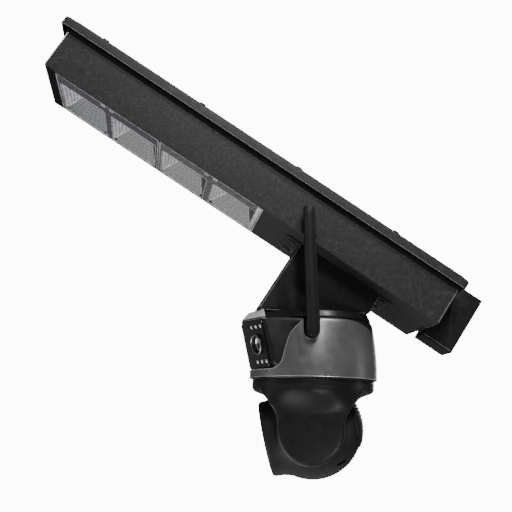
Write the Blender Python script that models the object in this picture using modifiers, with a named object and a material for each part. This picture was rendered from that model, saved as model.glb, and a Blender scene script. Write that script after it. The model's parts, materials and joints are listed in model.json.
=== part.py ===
"""Floodlight security camera: a slim LED lamp that holds a pan-and-tilt camera.

The lamp is a sheet-metal box that slopes down towards its mounting bracket. A wedge
under the lamp makes a level seat for the camera, which has a fixed twin-lens block, an
aerial and a ball-shaped head that pans on a ring and tilts between two arms.

Three frames are used. The lamp frame has X along the lamp towards the bracket and Z
square to the lamp's underside. The camera frame is level, with Z on the pan axis and
Z = 0 at the seat. The world's origin is the middle of the bracket's mounting face.
"""

import math

import bmesh
import bpy
from mathutils import Matrix, Vector

mm = 0.001
GAP = 0.3 * mm

# ---------------------------------------------------------------- driving dimensions
LAMP_SLOPE = math.radians(31.5)

LAMP_LENGTH = 453 * mm
LAMP_WIDTH = 117 * mm
LAMP_DEPTH = 43 * mm                  # underside to the lid's lower edge
SHEET = 1.5 * mm
LID_LIP = 9 * mm
LID_SIDE = 6 * mm                     # how far the lid stands out past each side
LID_FREE_END = 10 * mm                # past the lamp's free end
LID_MOUNT_END = 5 * mm                # and past its mounting end
GASKET_SHOWS = 2.2 * mm
GASKET_BAND = 2.6 * mm
LID_ROUND = 2.5 * mm
TRAY_BELOW_LID = 4.5 * mm             # housing's rim below the lid's top
PANEL_THICK = 1.8 * mm

BRACKET_REACH = 35 * mm               # lamp's end to the mounting face
BRACKET_HEIGHT = 64 * mm
BRACKET_WIDTH = 30 * mm
BRACKET_DROP = 7.2 * mm               # bracket's lower edge below the lamp's underside
BRACKET_SHEET = 2 * mm
BRACKET_FACE = 3 * mm
BRACKET_SCREWS = [(y, z) for z in (-12 * mm, 6 * mm) for y in (-7.5 * mm, 7.5 * mm)]
MOUNT_BOLT_R = 3.3 * mm
MOUNT_BOLT_Z = (-21 * mm, 21 * mm)
SCREW_R = 2 * mm
SCREW_HEAD_R = 3.9 * mm
SCREW_HEAD_H = 2.4 * mm

OPTIC_LENGTH = 120.5 * mm             # one moulding carries two reflector cups
OPTIC_WIDTH = 108 * mm
OPTIC_INSET = 12 * mm                 # lamp's free end to the first moulding
CUP_PITCH = 60.2 * mm
CUP_MOUTH = (53 * mm, 80 * mm)
CUP_CROWN = (15 * mm, 20 * mm)
CUP_HEIGHT = 22 * mm
CUP_WALL = 1.2 * mm
CUP_OFFSET = 9 * mm                   # cups sit off the lamp's middle
OPTIC_PLATE = 2.2 * mm
LED_SIZE = 10 * mm
BOARD_THICK = 1.6 * mm

CELL_R = 9.1 * mm                     # four 18650 cells
CELL_LENGTH = 65 * mm
CELL_END = -227 * mm
CELL_PITCH = 18.8 * mm
GLAND_R = 7 * mm
GLAND_X = -105 * mm

SEAT_FROM_MOUNT = (-153.3 * mm, 8.3 * mm)   # pan axis and seat height, from the mount
WEDGE_ENDS = (-61.5 * mm, 49 * mm)
WEDGE_WIDTH = 56 * mm
WEDGE_SHEET = 1.6 * mm
WEDGE_FLAP = 15 * mm
WEDGE_FOLD = 2.5 * mm
SCREW_SPREAD = 19.5 * mm
SEAT_HOLE_R = 14 * mm

CAP_R = 50 * mm                       # flat disc that meets the seat
CAP_Z = -7.7 * mm
SHELL_PROFILE = [(58, -8), (60.3, -22), (62.4, -37), (63.3, -52), (63.3, -65)]
SHELL_WALL = 2.2 * mm
CORE_WALL = 2 * mm
CORE_STEP = 7.5 * mm                  # outer shell's surface to the inner housing's
CORE_TOP = -13.5 * mm
REAR_TIP_Z = -42 * mm
REAR_RISE = 0.65                      # rise of the rear cover's edge per unit of width

BLOCK_NOSE = -75.5 * mm
BLOCK_CORNER = (-59 * mm, 45.5 * mm)
BLOCK_BACK = (-17 * mm, 55 * mm)      # X and half width where the block meets the shell
BLOCK_TOP = -3.8 * mm
BLOCK_BOTTOM = -57 * mm
BLOCK_LEAN = 13.5 * mm                # how far the foot of the block sits behind its top
BLOCK_LENS_ALONG = 31 * mm            # nose to lens centre, along a face
BLOCK_LENS_Z = -33.5 * mm
BLOCK_LENS_R = 9.7 * mm
FACE_PLATE = (42 * mm, 46 * mm, 1.2 * mm)

PAN_REST = math.radians(-11)
RING_R = 60.5 * mm
RING_TOP = -65.4 * mm
RING_FOOT = -84 * mm
DOME_R = 50 * mm                      # raised middle of the ring, inside the housing
DOME_TOP = -57.5 * mm
TILT_Z = -113.5 * mm
ARM_WIDTH = 66.5 * mm
ARM_IN = 40 * mm
ARM_OUT = 50 * mm
BALL_R = 48.5 * mm
BALL_HALF_WIDTH = 39.3 * mm
BALL_WALL = 2.5 * mm
BALL_PITCH = math.radians(13)         # the head rests looking a little down
HOOD_R = 37 * mm
HOOD_FRONT = -47 * mm
HOOD_WALL = 2.5 * mm
HEAD_SPLIT = 6 * mm
PIN_R = 4 * mm
ARM_COVER_R = 26 * mm

GEAR_Z = -51.5 * mm
GEAR_MODULE = 0.8 * mm
PAN_GEAR_TEETH = 60
PINION_TEETH = 12

AERIAL_X = -12 * mm
AERIAL_Y = -69.5 * mm
AERIAL_Z = -22 * mm
AERIAL_LENGTH = 124 * mm
AERIAL_LEAN = math.radians(-3.5)
AERIAL_R = 6.3 * mm
AERIAL_PIVOT_R = 2.5 * mm

# Values that follow from the ones above, in the lamp frame
MOUNT_END = -BRACKET_REACH
FREE_END = MOUNT_END - LAMP_LENGTH
UNDERSIDE = BRACKET_DROP - BRACKET_HEIGHT / 2
LIP_LOW = UNDERSIDE + LAMP_DEPTH
LID_TOP = LIP_LOW + LID_LIP
HALF = LAMP_WIDTH / 2
LID_HALF = HALF + LID_SIDE


# ---------------------------------------------------------------- scene and materials
def clear_scene():
    for obj in list(bpy.data.objects):
        bpy.data.objects.remove(obj, do_unlink=True)


def new_collection(name):
    collection = bpy.data.collections.new(name)
    bpy.context.scene.collection.children.link(collection)
    return collection


def empty(name, parent=None, place=Matrix()):
    obj = bpy.data.objects.new(name, None)
    obj.empty_display_size = 0.02
    PARTS.objects.link(obj)
    obj.parent = parent
    obj.matrix_local = place
    return obj


def finish_material(obj, colour, roughness, metallic):
    mat = bpy.data.materials.new(obj.name)
    mat.use_nodes = True
    shader = mat.node_tree.nodes["Principled BSDF"]
    shader.inputs["Base Color"].default_value = (*colour, 1)
    shader.inputs["Roughness"].default_value = roughness
    shader.inputs["Metallic"].default_value = metallic
    obj.data.materials.append(mat)


BLACK_PAINT = ((0.030, 0.030, 0.031), 0.62, 0.0)
BLACK_PLASTIC = ((0.014, 0.014, 0.015), 0.42, 0.0)
GREY_PLASTIC = ((0.105, 0.107, 0.112), 0.38, 0.25)
RUBBER = ((0.012, 0.012, 0.012), 0.85, 0.0)
SOLAR = ((0.010, 0.012, 0.030), 0.15, 0.0)
CLEAR = ((0.55, 0.57, 0.60), 0.12, 0.0)
PHOSPHOR = ((0.85, 0.70, 0.22), 0.50, 0.0)
WHITE_BOARD = ((0.80, 0.80, 0.78), 0.45, 0.0)
GREEN_BOARD = ((0.03, 0.14, 0.07), 0.45, 0.0)
ALUMINIUM = ((0.60, 0.61, 0.62), 0.35, 1.0)
STEEL = ((0.55, 0.55, 0.55), 0.30, 1.0)
LENS_GLASS = ((0.03, 0.02, 0.03), 0.05, 0.0)
WRAP_BLUE = ((0.04, 0.13, 0.35), 0.40, 0.0)
ACETAL = ((0.75, 0.74, 0.70), 0.45, 0.0)


# ---------------------------------------------------------------- shape helpers
def add(name, bm, frame, look):
    """Makes a named part from a bmesh, or a cutter where look is None."""
    bmesh.ops.recalc_face_normals(bm, faces=bm.faces)
    mesh = bpy.data.meshes.new(name)
    bm.to_mesh(mesh)
    bm.free()
    return add_mesh(name, mesh, frame, look)


def add_mesh(name, mesh, frame, look):
    obj = bpy.data.objects.new(name, mesh)
    obj.parent = frame
    if look is None:
        CUTTERS.objects.link(obj)
        obj.hide_render = True
        obj.display_type = "WIRE"
    else:
        PARTS.objects.link(obj)
        finish_material(obj, *look)
    return obj


def span(low, high):
    """Scale and place that turn a unit cube into the box from low to high."""
    low, high = Vector(low), Vector(high)
    return Matrix.Translation((low + high) / 2) @ Matrix.Diagonal((*(high - low), 1))


def box(name, low, high, frame, look=None):
    bm = bmesh.new()
    bmesh.ops.create_cube(bm, size=1, matrix=span(low, high))
    return add(name, bm, frame, look)


def rounded_box(name, low, high, frame, look, axis, radius, segments=3):
    """A box whose edges along one axis are rounded."""
    bm = bmesh.new()
    bmesh.ops.create_cube(bm, size=1, matrix=span(low, high))
    along = [e for e in bm.edges if abs((e.verts[0].co - e.verts[1].co).normalized()[axis]) > 0.9]
    bmesh.ops.bevel(bm, geom=along, offset=radius, segments=segments, affect="EDGES", profile=0.5)
    return add(name, bm, frame, look)


def rod(name, radius, start, end, frame, look=None, segments=24, end_radius=None):
    """A cylinder or cone between two points."""
    start, end = Vector(start), Vector(end)
    along = end - start
    turn = Vector((0, 0, 1)).rotation_difference(along).to_matrix().to_4x4()
    place = Matrix.Translation((start + end) / 2) @ turn
    bm = bmesh.new()
    bmesh.ops.create_cone(bm, cap_ends=True, segments=segments, radius1=radius,
                          radius2=radius if end_radius is None else end_radius,
                          depth=along.length, matrix=place)
    obj = add(name, bm, frame, look)
    round_shading(obj)
    return obj


def frustum(name, low_size, high_size, centre, low_z, high_z, frame, look=None):
    """A four-sided tapered block, with its two end sizes given as (x, y)."""
    bm = bmesh.new()
    bmesh.ops.create_cube(bm, size=1)
    for vert in bm.verts:
        size = high_size if vert.co.z > 0 else low_size
        vert.co.x = centre[0] + vert.co.x * size[0]
        vert.co.y = centre[1] + vert.co.y * size[1]
        vert.co.z = high_z if vert.co.z > 0 else low_z
    return add(name, bm, frame, look)


def prism(name, outline, low, high, frame, look=None, normal="Y"):
    """An outline in the X-Z plane (or Y-Z, or X-Y) made solid from low to high."""
    place = {"X": lambda a, b, c: (c, a, b), "Y": lambda a, b, c: (a, c, b),
             "Z": lambda a, b, c: (a, b, c)}[normal]
    bm = bmesh.new()
    rim = [bm.verts.new(place(a, b, low)) for a, b in outline]
    face = bm.faces.new(rim)
    grown = bmesh.ops.extrude_face_region(bm, geom=[face])["geom"]
    shift = Vector(place(0, 0, high - low))
    for vert in grown:
        if isinstance(vert, bmesh.types.BMVert):
            vert.co += shift
    return add(name, bm, frame, look)


def turned(name, profile, frame, look=None, steps=48, place=Matrix(), closed=False):
    """A profile of (radius, height) turned round Z. It runs down its outer side."""
    mesh = bpy.data.meshes.new(name)
    verts = [(r, 0, z) for r, z in profile]
    edges = [(i, i + 1) for i in range(len(verts) - 1)]
    if closed:
        edges.append((len(verts) - 1, 0))
    mesh.from_pydata(verts, edges, [])
    obj = add_mesh(name, mesh, frame, look)
    obj.matrix_local = place
    screw = obj.modifiers.new("turn", "SCREW")
    screw.steps = steps
    screw.render_steps = steps
    screw.use_merge_vertices = True
    screw.merge_threshold = 0.00001
    screw.use_smooth_shade = True
    return obj


def boolean(obj, operation, others):
    for other in others:
        mod = obj.modifiers.new(other.name, "BOOLEAN")
        mod.operation = operation
        mod.object = other
        mod.solver = "EXACT"
    return obj


def cut(obj, *others):
    return boolean(obj, "DIFFERENCE", others)


def fuse(obj, *others):
    return boolean(obj, "UNION", others)


def keep(obj, *others):
    return boolean(obj, "INTERSECT", others)


def round_shading(obj, angle=35):
    obj.data.shade_smooth()
    obj.data.set_sharp_from_angle(angle=math.radians(angle))


def arc(centre, radius, start, end, count):
    """Points along an arc, angles in degrees."""
    steps = [math.radians(start + (end - start) * i / count) for i in range(count + 1)]
    return [(centre[0] + radius * math.cos(a), centre[1] + radius * math.sin(a)) for a in steps]


# ---------------------------------------------------------------- lamp
def sheet_tray(name, low, high, frame, look, wall, open_top, edge_round=0.0):
    """A folded sheet box with one open side; its outside is the box from low to high."""
    bm = bmesh.new()
    bmesh.ops.create_cube(bm, size=1, matrix=span(low, high))
    bm.faces.ensure_lookup_table()
    lid_face = max(bm.faces, key=lambda f: f.calc_center_median().z * (1 if open_top else -1))
    bmesh.ops.delete(bm, geom=[lid_face], context="FACES_ONLY")
    if edge_round:
        closed_edges = [e for e in bm.edges if not e.is_boundary]
        bmesh.ops.bevel(bm, geom=closed_edges, offset=edge_round, segments=2,
                        affect="EDGES", profile=0.5)
    bmesh.ops.recalc_face_normals(bm, faces=bm.faces)
    mesh = bpy.data.meshes.new(name)
    bm.to_mesh(mesh)
    bm.free()
    obj = add_mesh(name, mesh, frame, look)
    middle = (Vector(low) + Vector(high)) / 2
    outward = sum((p.normal.dot(p.center - middle) for p in mesh.polygons))
    solid = obj.modifiers.new("sheet", "SOLIDIFY")
    solid.thickness = wall
    solid.offset = -1 if outward > 0 else 1
    solid.use_even_offset = True
    return obj


def lamp_housing():
    tray = sheet_tray("lamp_housing", (FREE_END, -HALF, UNDERSIDE),
                      (MOUNT_END, HALF, LID_TOP - TRAY_BELOW_LID), LAMP, BLACK_PAINT, SHEET, open_top=True)
    first = FREE_END + OPTIC_INSET
    last = first + 2 * OPTIC_LENGTH + 2 * GAP
    window = box("optic_window", (first - GAP, -OPTIC_WIDTH / 2 - GAP, UNDERSIDE - SHEET),
                 (last, OPTIC_WIDTH / 2 + GAP, UNDERSIDE + 2 * SHEET), LAMP)
    cable = rod("cable_hole", GLAND_R + GAP, (GLAND_X, 0, UNDERSIDE - SHEET),
                (GLAND_X, 0, UNDERSIDE + 2 * SHEET), LAMP)
    cut(tray, window, cable)
    for number, (x, y) in enumerate(ADAPTER_SCREWS, start=1):
        cut(tray, rod(f"tray_screw_hole_{number}", SCREW_R + GAP, (x, y, UNDERSIDE - SHEET),
                      (x, y, UNDERSIDE + 2 * SHEET), LAMP, segments=12))
    for number, (y, z) in enumerate(BRACKET_SCREWS, start=1):
        cut(tray, rod(f"end_screw_hole_{number}", SCREW_R + GAP, (MOUNT_END - 3 * SHEET, y, z),
                      (MOUNT_END + SHEET, y, z), LAMP, segments=12))


def lamp_lid():
    sheet_tray("lamp_lid", (FREE_END - LID_FREE_END, -LID_HALF, LIP_LOW),
               (MOUNT_END + LID_MOUNT_END, LID_HALF, LID_TOP), LAMP, BLACK_PAINT, SHEET,
               open_top=False, edge_round=LID_ROUND)


def lid_gasket():
    """A rubber band round the housing's rim that shows just below the lid's lip."""
    reach = GAP + GASKET_BAND
    low = (FREE_END - reach, -HALF - reach, LIP_LOW - GASKET_SHOWS)
    high = (MOUNT_END + reach, HALF + reach, LID_TOP - SHEET - 3 * mm)
    gasket = rounded_box("lid_gasket", low, high, LAMP, RUBBER, axis=2, radius=2 * mm, segments=2)
    clear = box("gasket_inside", (FREE_END - GAP, -HALF - GAP, low[2] - SHEET),
                (MOUNT_END + GAP, HALF + GAP, high[2] + SHEET), LAMP)
    cut(gasket, clear)


def solar_panel():
    low_z = LID_TOP + GAP
    rounded_box("solar_panel", (FREE_END + 1 * mm, -HALF - 1 * mm, low_z),
                (MOUNT_END - 1 * mm, HALF + 1 * mm, low_z + PANEL_THICK), LAMP, SOLAR,
                axis=2, radius=2 * mm, segments=2)


def led_modules():
    """Two clear mouldings with two reflector cups each, their boards and their chips."""
    chip_number = 0
    for number in (1, 2):
        low_x = FREE_END + OPTIC_INSET + (number - 1) * (OPTIC_LENGTH + GAP)
        mid_x = low_x + OPTIC_LENGTH / 2
        floor = UNDERSIDE + CUP_HEIGHT
        optic = box(f"led_optic_{number}", (low_x, -OPTIC_WIDTH / 2, UNDERSIDE),
                    (low_x + OPTIC_LENGTH, OPTIC_WIDTH / 2, UNDERSIDE + OPTIC_PLATE), LAMP, CLEAR)
        centres = [(mid_x + side * CUP_PITCH / 2, CUP_OFFSET) for side in (-1, 1)]
        grown_mouth = [size + 2 * CUP_WALL for size in CUP_MOUTH]
        grown_crown = [size + 2 * CUP_WALL for size in CUP_CROWN]
        for side, centre in enumerate(centres, start=1):
            fuse(optic, frustum(f"cup_outside_{number}_{side}", grown_mouth, grown_crown, centre,
                                UNDERSIDE + 1 * mm, floor, LAMP))
        for side, centre in enumerate(centres, start=1):
            cut(optic, frustum(f"cup_inside_{number}_{side}", CUP_MOUTH, CUP_CROWN, centre,
                               UNDERSIDE - 0.2 * mm, floor + 0.2 * mm, LAMP))
        board_z = floor + GAP
        box(f"led_board_{number}", (low_x + 8 * mm, -25 * mm, board_z),
            (low_x + OPTIC_LENGTH - 8 * mm, 43 * mm, board_z + BOARD_THICK), LAMP, WHITE_BOARD)
        for centre in centres:
            chip_number += 1
            half = LED_SIZE / 2
            box(f"led_chip_{chip_number}", (centre[0] - half, centre[1] - half, board_z - 1.6 * mm),
                (centre[0] + half, centre[1] + half, board_z - 0.1 * mm), LAMP, PHOSPHOR)
    spreader_z = UNDERSIDE + CUP_HEIGHT + BOARD_THICK + 2 * GAP
    box("heat_spreader", (FREE_END + OPTIC_INSET, -46 * mm, spreader_z),
        (FREE_END + OPTIC_INSET + 2 * OPTIC_LENGTH, 46 * mm, spreader_z + 2 * mm), LAMP, ALUMINIUM)


def lamp_electronics():
    """The battery in its cradle, the charging board and the gland in the floor."""
    base = UNDERSIDE + SHEET + 4.5 * mm
    last = CELL_END + CELL_LENGTH
    bay = CELL_PITCH / 2 + CELL_R + 0.7 * mm
    wall = 2 * mm
    cradle = box("battery_cradle", (CELL_END - 2 * wall, -bay - wall, base),
                 (last + 2 * wall, bay + wall, base + 8 * mm), LAMP, BLACK_PLASTIC)
    cut(cradle, box("cradle_bay", (CELL_END - wall, -bay, base + 1.5 * mm), (last + wall, bay, 0), LAMP))
    number = 0
    for layer in (0, 1):
        for side in (-1, 1):
            number += 1
            y = side * CELL_PITCH / 2
            z = base + 1.8 * mm + CELL_R + layer * (2 * CELL_R + GAP)
            rod(f"battery_cell_{number}", CELL_R, (CELL_END, y, z), (last, y, z), LAMP, WRAP_BLUE,
                segments=20)
    board = box("charge_board", (-150 * mm, -34 * mm, 0), (-62 * mm, 34 * mm, BOARD_THICK),
                LAMP, GREEN_BOARD)
    fuse(board,
         box("board_coil", (-140 * mm, -24 * mm, 1 * mm), (-124 * mm, -8 * mm, 10 * mm), LAMP),
         box("board_chip", (-112 * mm, -10 * mm, 1 * mm), (-96 * mm, 6 * mm, 3.6 * mm), LAMP),
         box("board_plug", (-82 * mm, 12 * mm, 1 * mm), (-70 * mm, 28 * mm, 9 * mm), LAMP))
    low = UNDERSIDE - 4 * mm
    flange = UNDERSIDE + SHEET + GAP
    turned("cable_gland", [(GLAND_R + 3 * mm, flange + 2 * mm), (GLAND_R + 3 * mm, flange),
                           (GLAND_R, flange), (GLAND_R, UNDERSIDE - GAP),
                           (GLAND_R + 2.5 * mm, UNDERSIDE - GAP), (GLAND_R + 2.5 * mm, low),
                           (3 * mm, low), (3 * mm, flange + 2 * mm)],
           LAMP, RUBBER, steps=24, place=Matrix.Translation((GLAND_X, 0, 0)), closed=True)


def screw(name, head, point, frame):
    """A pan-head screw from its head's seat to its point."""
    head, point = Vector(head), Vector(point)
    outward = (head - point).normalized()
    body = rod(name, SCREW_HEAD_R, head + outward * SCREW_HEAD_H, head, frame, STEEL, segments=16)
    fuse(body, rod(f"{name}_shank", SCREW_R, head + outward * 0.5 * mm, point, frame, segments=12))
    socket = rod(f"{name}_socket", 1.4 * mm, head + outward * (SCREW_HEAD_H + 1 * mm),
                 head + outward * 0.8 * mm, frame, segments=6)
    cut(body, socket)


def end_bracket():
    """A welded box bracket with side walls, a floor and a thick mounting face."""
    half = BRACKET_WIDTH / 2
    low, high = -BRACKET_HEIGHT / 2, BRACKET_HEIGHT / 2
    back = MOUNT_END + GAP
    past_lid = MOUNT_END + LID_MOUNT_END + GAP
    under_lid = LIP_LOW - GASKET_SHOWS - GAP
    outline = [(back, low), (0, low), (0, high), (past_lid, high), (past_lid, under_lid),
               (back, under_lid)]
    bracket = prism("end_bracket", outline, -half, half, LAMP, BLACK_PAINT)
    inside = box("bracket_inside", (back + BRACKET_SHEET, -half + BRACKET_SHEET, low + BRACKET_SHEET),
                 (-BRACKET_FACE, half - BRACKET_SHEET, high + 10 * mm), LAMP)
    cut(bracket, inside)
    for number, z in enumerate(MOUNT_BOLT_Z, start=1):
        cut(bracket, rod(f"mount_hole_{number}", MOUNT_BOLT_R, (-10 * mm, 0, z), (5 * mm, 0, z),
                         LAMP, segments=16))
    for number, (y, z) in enumerate(BRACKET_SCREWS, start=1):
        cut(bracket, rod(f"web_hole_{number}", SCREW_R + GAP, (back - SHEET, y, z),
                         (back + 3 * SHEET, y, z), LAMP, segments=12))
        seat = back + BRACKET_SHEET + GAP
        screw(f"bracket_screw_{number}", (seat, y, z), (MOUNT_END - 4 * mm, y, z), LAMP)


# ---------------------------------------------------------------- wedge under the lamp
def to_underside(x, z):
    """The point above (x, z), in the camera frame, where it meets the lamp's underside."""
    world = Vector((x + SEAT_FROM_MOUNT[0], z + SEAT_FROM_MOUNT[1]))
    normal = Vector((math.sin(LAMP_SLOPE), math.cos(LAMP_SLOPE)))
    rise = UNDERSIDE - GAP - world.dot(normal)
    return x + rise * normal.x, z + rise * normal.y


def lamp_x(x, z):
    """Lamp-frame X of a point given in the camera frame."""
    world = Vector((x + SEAT_FROM_MOUNT[0], z + SEAT_FROM_MOUNT[1]))
    return world.dot(Vector((math.cos(LAMP_SLOPE), -math.sin(LAMP_SLOPE))))


def wedge_adapter():
    """Bent sheet wedge: a level seat, four walls and two flaps that screw to the lamp."""
    left, right = WEDGE_ENDS
    half = WEDGE_WIDTH / 2
    wedge = prism("wedge_adapter", [(left, 0), (right, 0), to_underside(right, 0), to_underside(left, 0)],
                  -half, half, CAMERA, BLACK_PAINT)
    bevel = wedge.modifiers.new("fold", "BEVEL")
    bevel.width = WEDGE_FOLD
    bevel.segments = 2
    bevel.limit_method = "VGROUP"
    group = wedge.vertex_groups.new(name="seat_edges")
    group.add([v.index for v in wedge.data.vertices if v.co.z < 0.1 * mm], 1.0, "REPLACE")
    bevel.vertex_group = "seat_edges"

    inset = WEDGE_SHEET
    slope = math.tan(LAMP_SLOPE)
    inner_low = [(left + inset * (1 + slope), inset), (right - inset, inset)]
    inner_high = [to_underside(*inner_low[1]), to_underside(*inner_low[0])]
    lift = Vector((math.sin(LAMP_SLOPE), math.cos(LAMP_SLOPE))) * 5 * mm
    inner_high = [(x + lift.x, z + lift.y) for x, z in inner_high]
    cut(wedge, prism("wedge_inside", inner_low + inner_high, -half + inset, half - inset, CAMERA))

    top = UNDERSIDE - GAP
    for name, (start, end) in WEDGE_FLAPS.items():
        fuse(wedge, box(name, (start, -half, top - WEDGE_SHEET), (end, half, top), LAMP))
    for number, (x, y) in enumerate(ADAPTER_SCREWS, start=1):
        cut(wedge, rod(f"flap_hole_{number}", SCREW_R + GAP, (x, y, top - 3 * WEDGE_SHEET),
                       (x, y, top + WEDGE_SHEET), LAMP, segments=12))
        screw(f"adapter_screw_{number}", (x, y, top - WEDGE_SHEET - GAP), (x, y, UNDERSIDE + 4 * mm), LAMP)
    cut(wedge, rod("seat_hole", SEAT_HOLE_R, (0, 0, -5 * mm), (0, 0, 5 * mm), CAMERA))


# ---------------------------------------------------------------- fixed camera housing
def shell_outline(offset=0.0):
    return [(r * mm + offset, z * mm) for r, z in SHELL_PROFILE]


def shell_ring(name, frame, look):
    """The turned wall that the outer covers are cut from, with a narrow top flange."""
    outer = shell_outline()
    inner = shell_outline(-SHELL_WALL)
    inner[0] = (inner[0][0], inner[0][1] - SHELL_WALL)
    top = outer[0][1]
    hole = CAP_R - 6 * mm
    loop = [(hole, top)] + outer + inner[::-1] + [(hole, top - SHELL_WALL)]
    return turned(name, loop, frame, look, closed=True)


def rear_region(name, clearance):
    """Everything behind and above the rounded-V lower edge of the rear cover."""
    reach = 80 * mm
    tip = REAR_TIP_Z + clearance
    rise = REAR_RISE * reach
    outline = [(-reach, tip + rise), (0, tip), (reach, tip + rise), (reach, 20 * mm), (-reach, 20 * mm)]
    region = prism(name, outline, clearance, reach, CAMERA, normal="X")
    bevel = region.modifiers.new("tip", "BEVEL")
    bevel.width = 16 * mm
    bevel.segments = 5
    bevel.limit_method = "VGROUP"
    group = region.vertex_groups.new(name="tip")
    group.add([v.index for v in region.data.vertices if v.co.z < tip + 0.1 * mm], 1.0, "REPLACE")
    bevel.vertex_group = "tip"
    return region


def front_opening():
    """The S-shaped opening that the twin-lens block looks out of, cut through in Y."""
    low = BLOCK_BOTTOM - 0.6 * mm
    curve = bpy.data.curves.new("front_opening", "CURVE")
    curve.dimensions = "2D"
    curve.fill_mode = "BOTH"
    curve.extrude = 90 * mm
    curve.resolution_u = 4
    curve.render_resolution_u = 0
    spline = curve.splines.new("BEZIER")
    points = [((-19 * mm, 8 * mm), "VECTOR"), ((-20 * mm, -11 * mm), "AUTO"),
              ((-31 * mm, -24 * mm), "AUTO"), ((-37.5 * mm, -46 * mm), "AUTO"),
              ((-43 * mm, low), "AUTO"), ((-90 * mm, low), "VECTOR"), ((-90 * mm, 8 * mm), "VECTOR")]
    spline.bezier_points.add(len(points) - 1)
    for point, (place, handle) in zip(spline.bezier_points, points):
        point.co = (*place, 0)
        point.handle_left_type = handle
        point.handle_right_type = handle
    spline.use_cyclic_u = True
    holder = bpy.data.objects.new("front_opening_curve", curve)
    CUTTERS.objects.link(holder)
    bpy.context.view_layer.update()
    graph = bpy.context.evaluated_depsgraph_get()
    mesh = bpy.data.meshes.new_from_object(holder.evaluated_get(graph))
    bpy.data.objects.remove(holder, do_unlink=True)
    bm = bmesh.new()
    bm.from_mesh(mesh)
    bmesh.ops.remove_doubles(bm, verts=bm.verts, dist=0.00001)
    bmesh.ops.rotate(bm, verts=bm.verts, matrix=Matrix.Rotation(math.radians(90), 3, "X"))
    return add("front_opening", bm, CAMERA, None)


def lens_block_solid(name, look, grow=0.0):
    """The twin-lens block: a blunt arrow in plan, leaning back towards its foot."""
    back_x, back_y = BLOCK_BACK
    corner_x, corner_y = BLOCK_CORNER
    outline = [(BLOCK_NOSE - grow, 0), (corner_x - grow, -corner_y - grow), (back_x + grow, -back_y - grow),
               (back_x + grow, back_y + grow), (corner_x - grow, corner_y + grow)]
    block = prism(name, outline, BLOCK_BOTTOM - grow, BLOCK_TOP + grow, CAMERA, look, normal="Z")
    side_slope = (back_y - corner_y) / (back_x - corner_x)
    face_x = corner_x - BLOCK_NOSE
    stretch = ((corner_y + side_slope * (BLOCK_NOSE + BLOCK_LEAN - corner_x))
               / (corner_y - side_slope * face_x))
    for vert in block.data.vertices:
        if vert.co.z < (BLOCK_TOP + BLOCK_BOTTOM) / 2 and vert.co.x < back_x - 1 * mm:
            vert.co.x += BLOCK_LEAN
            if abs(vert.co.y) > 1 * mm:
                vert.co.x += (stretch - 1) * face_x
                vert.co.y += math.copysign((stretch - 1) * corner_y, vert.co.y)
    return block


def face_frame(name, side):
    """An empty on a front face of the block: Z out of the face, X along it from the nose."""
    corner_x, corner_y = BLOCK_CORNER
    nose = Vector((BLOCK_NOSE, 0, BLOCK_TOP))
    along = (Vector((corner_x, side * corner_y, BLOCK_TOP)) - nose).normalized()
    down = Vector((BLOCK_LEAN, 0, BLOCK_BOTTOM - BLOCK_TOP))
    normal = along.cross(down).normalized() * side
    upright = normal.cross(along).normalized()
    drop = BLOCK_LENS_Z - BLOCK_TOP
    origin = nose + along * BLOCK_LENS_ALONG + down * (drop / down.z)
    rotation = Matrix((along, upright, normal)).transposed().to_4x4()
    return empty(name, CAMERA, Matrix.Translation(origin) @ rotation)


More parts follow.
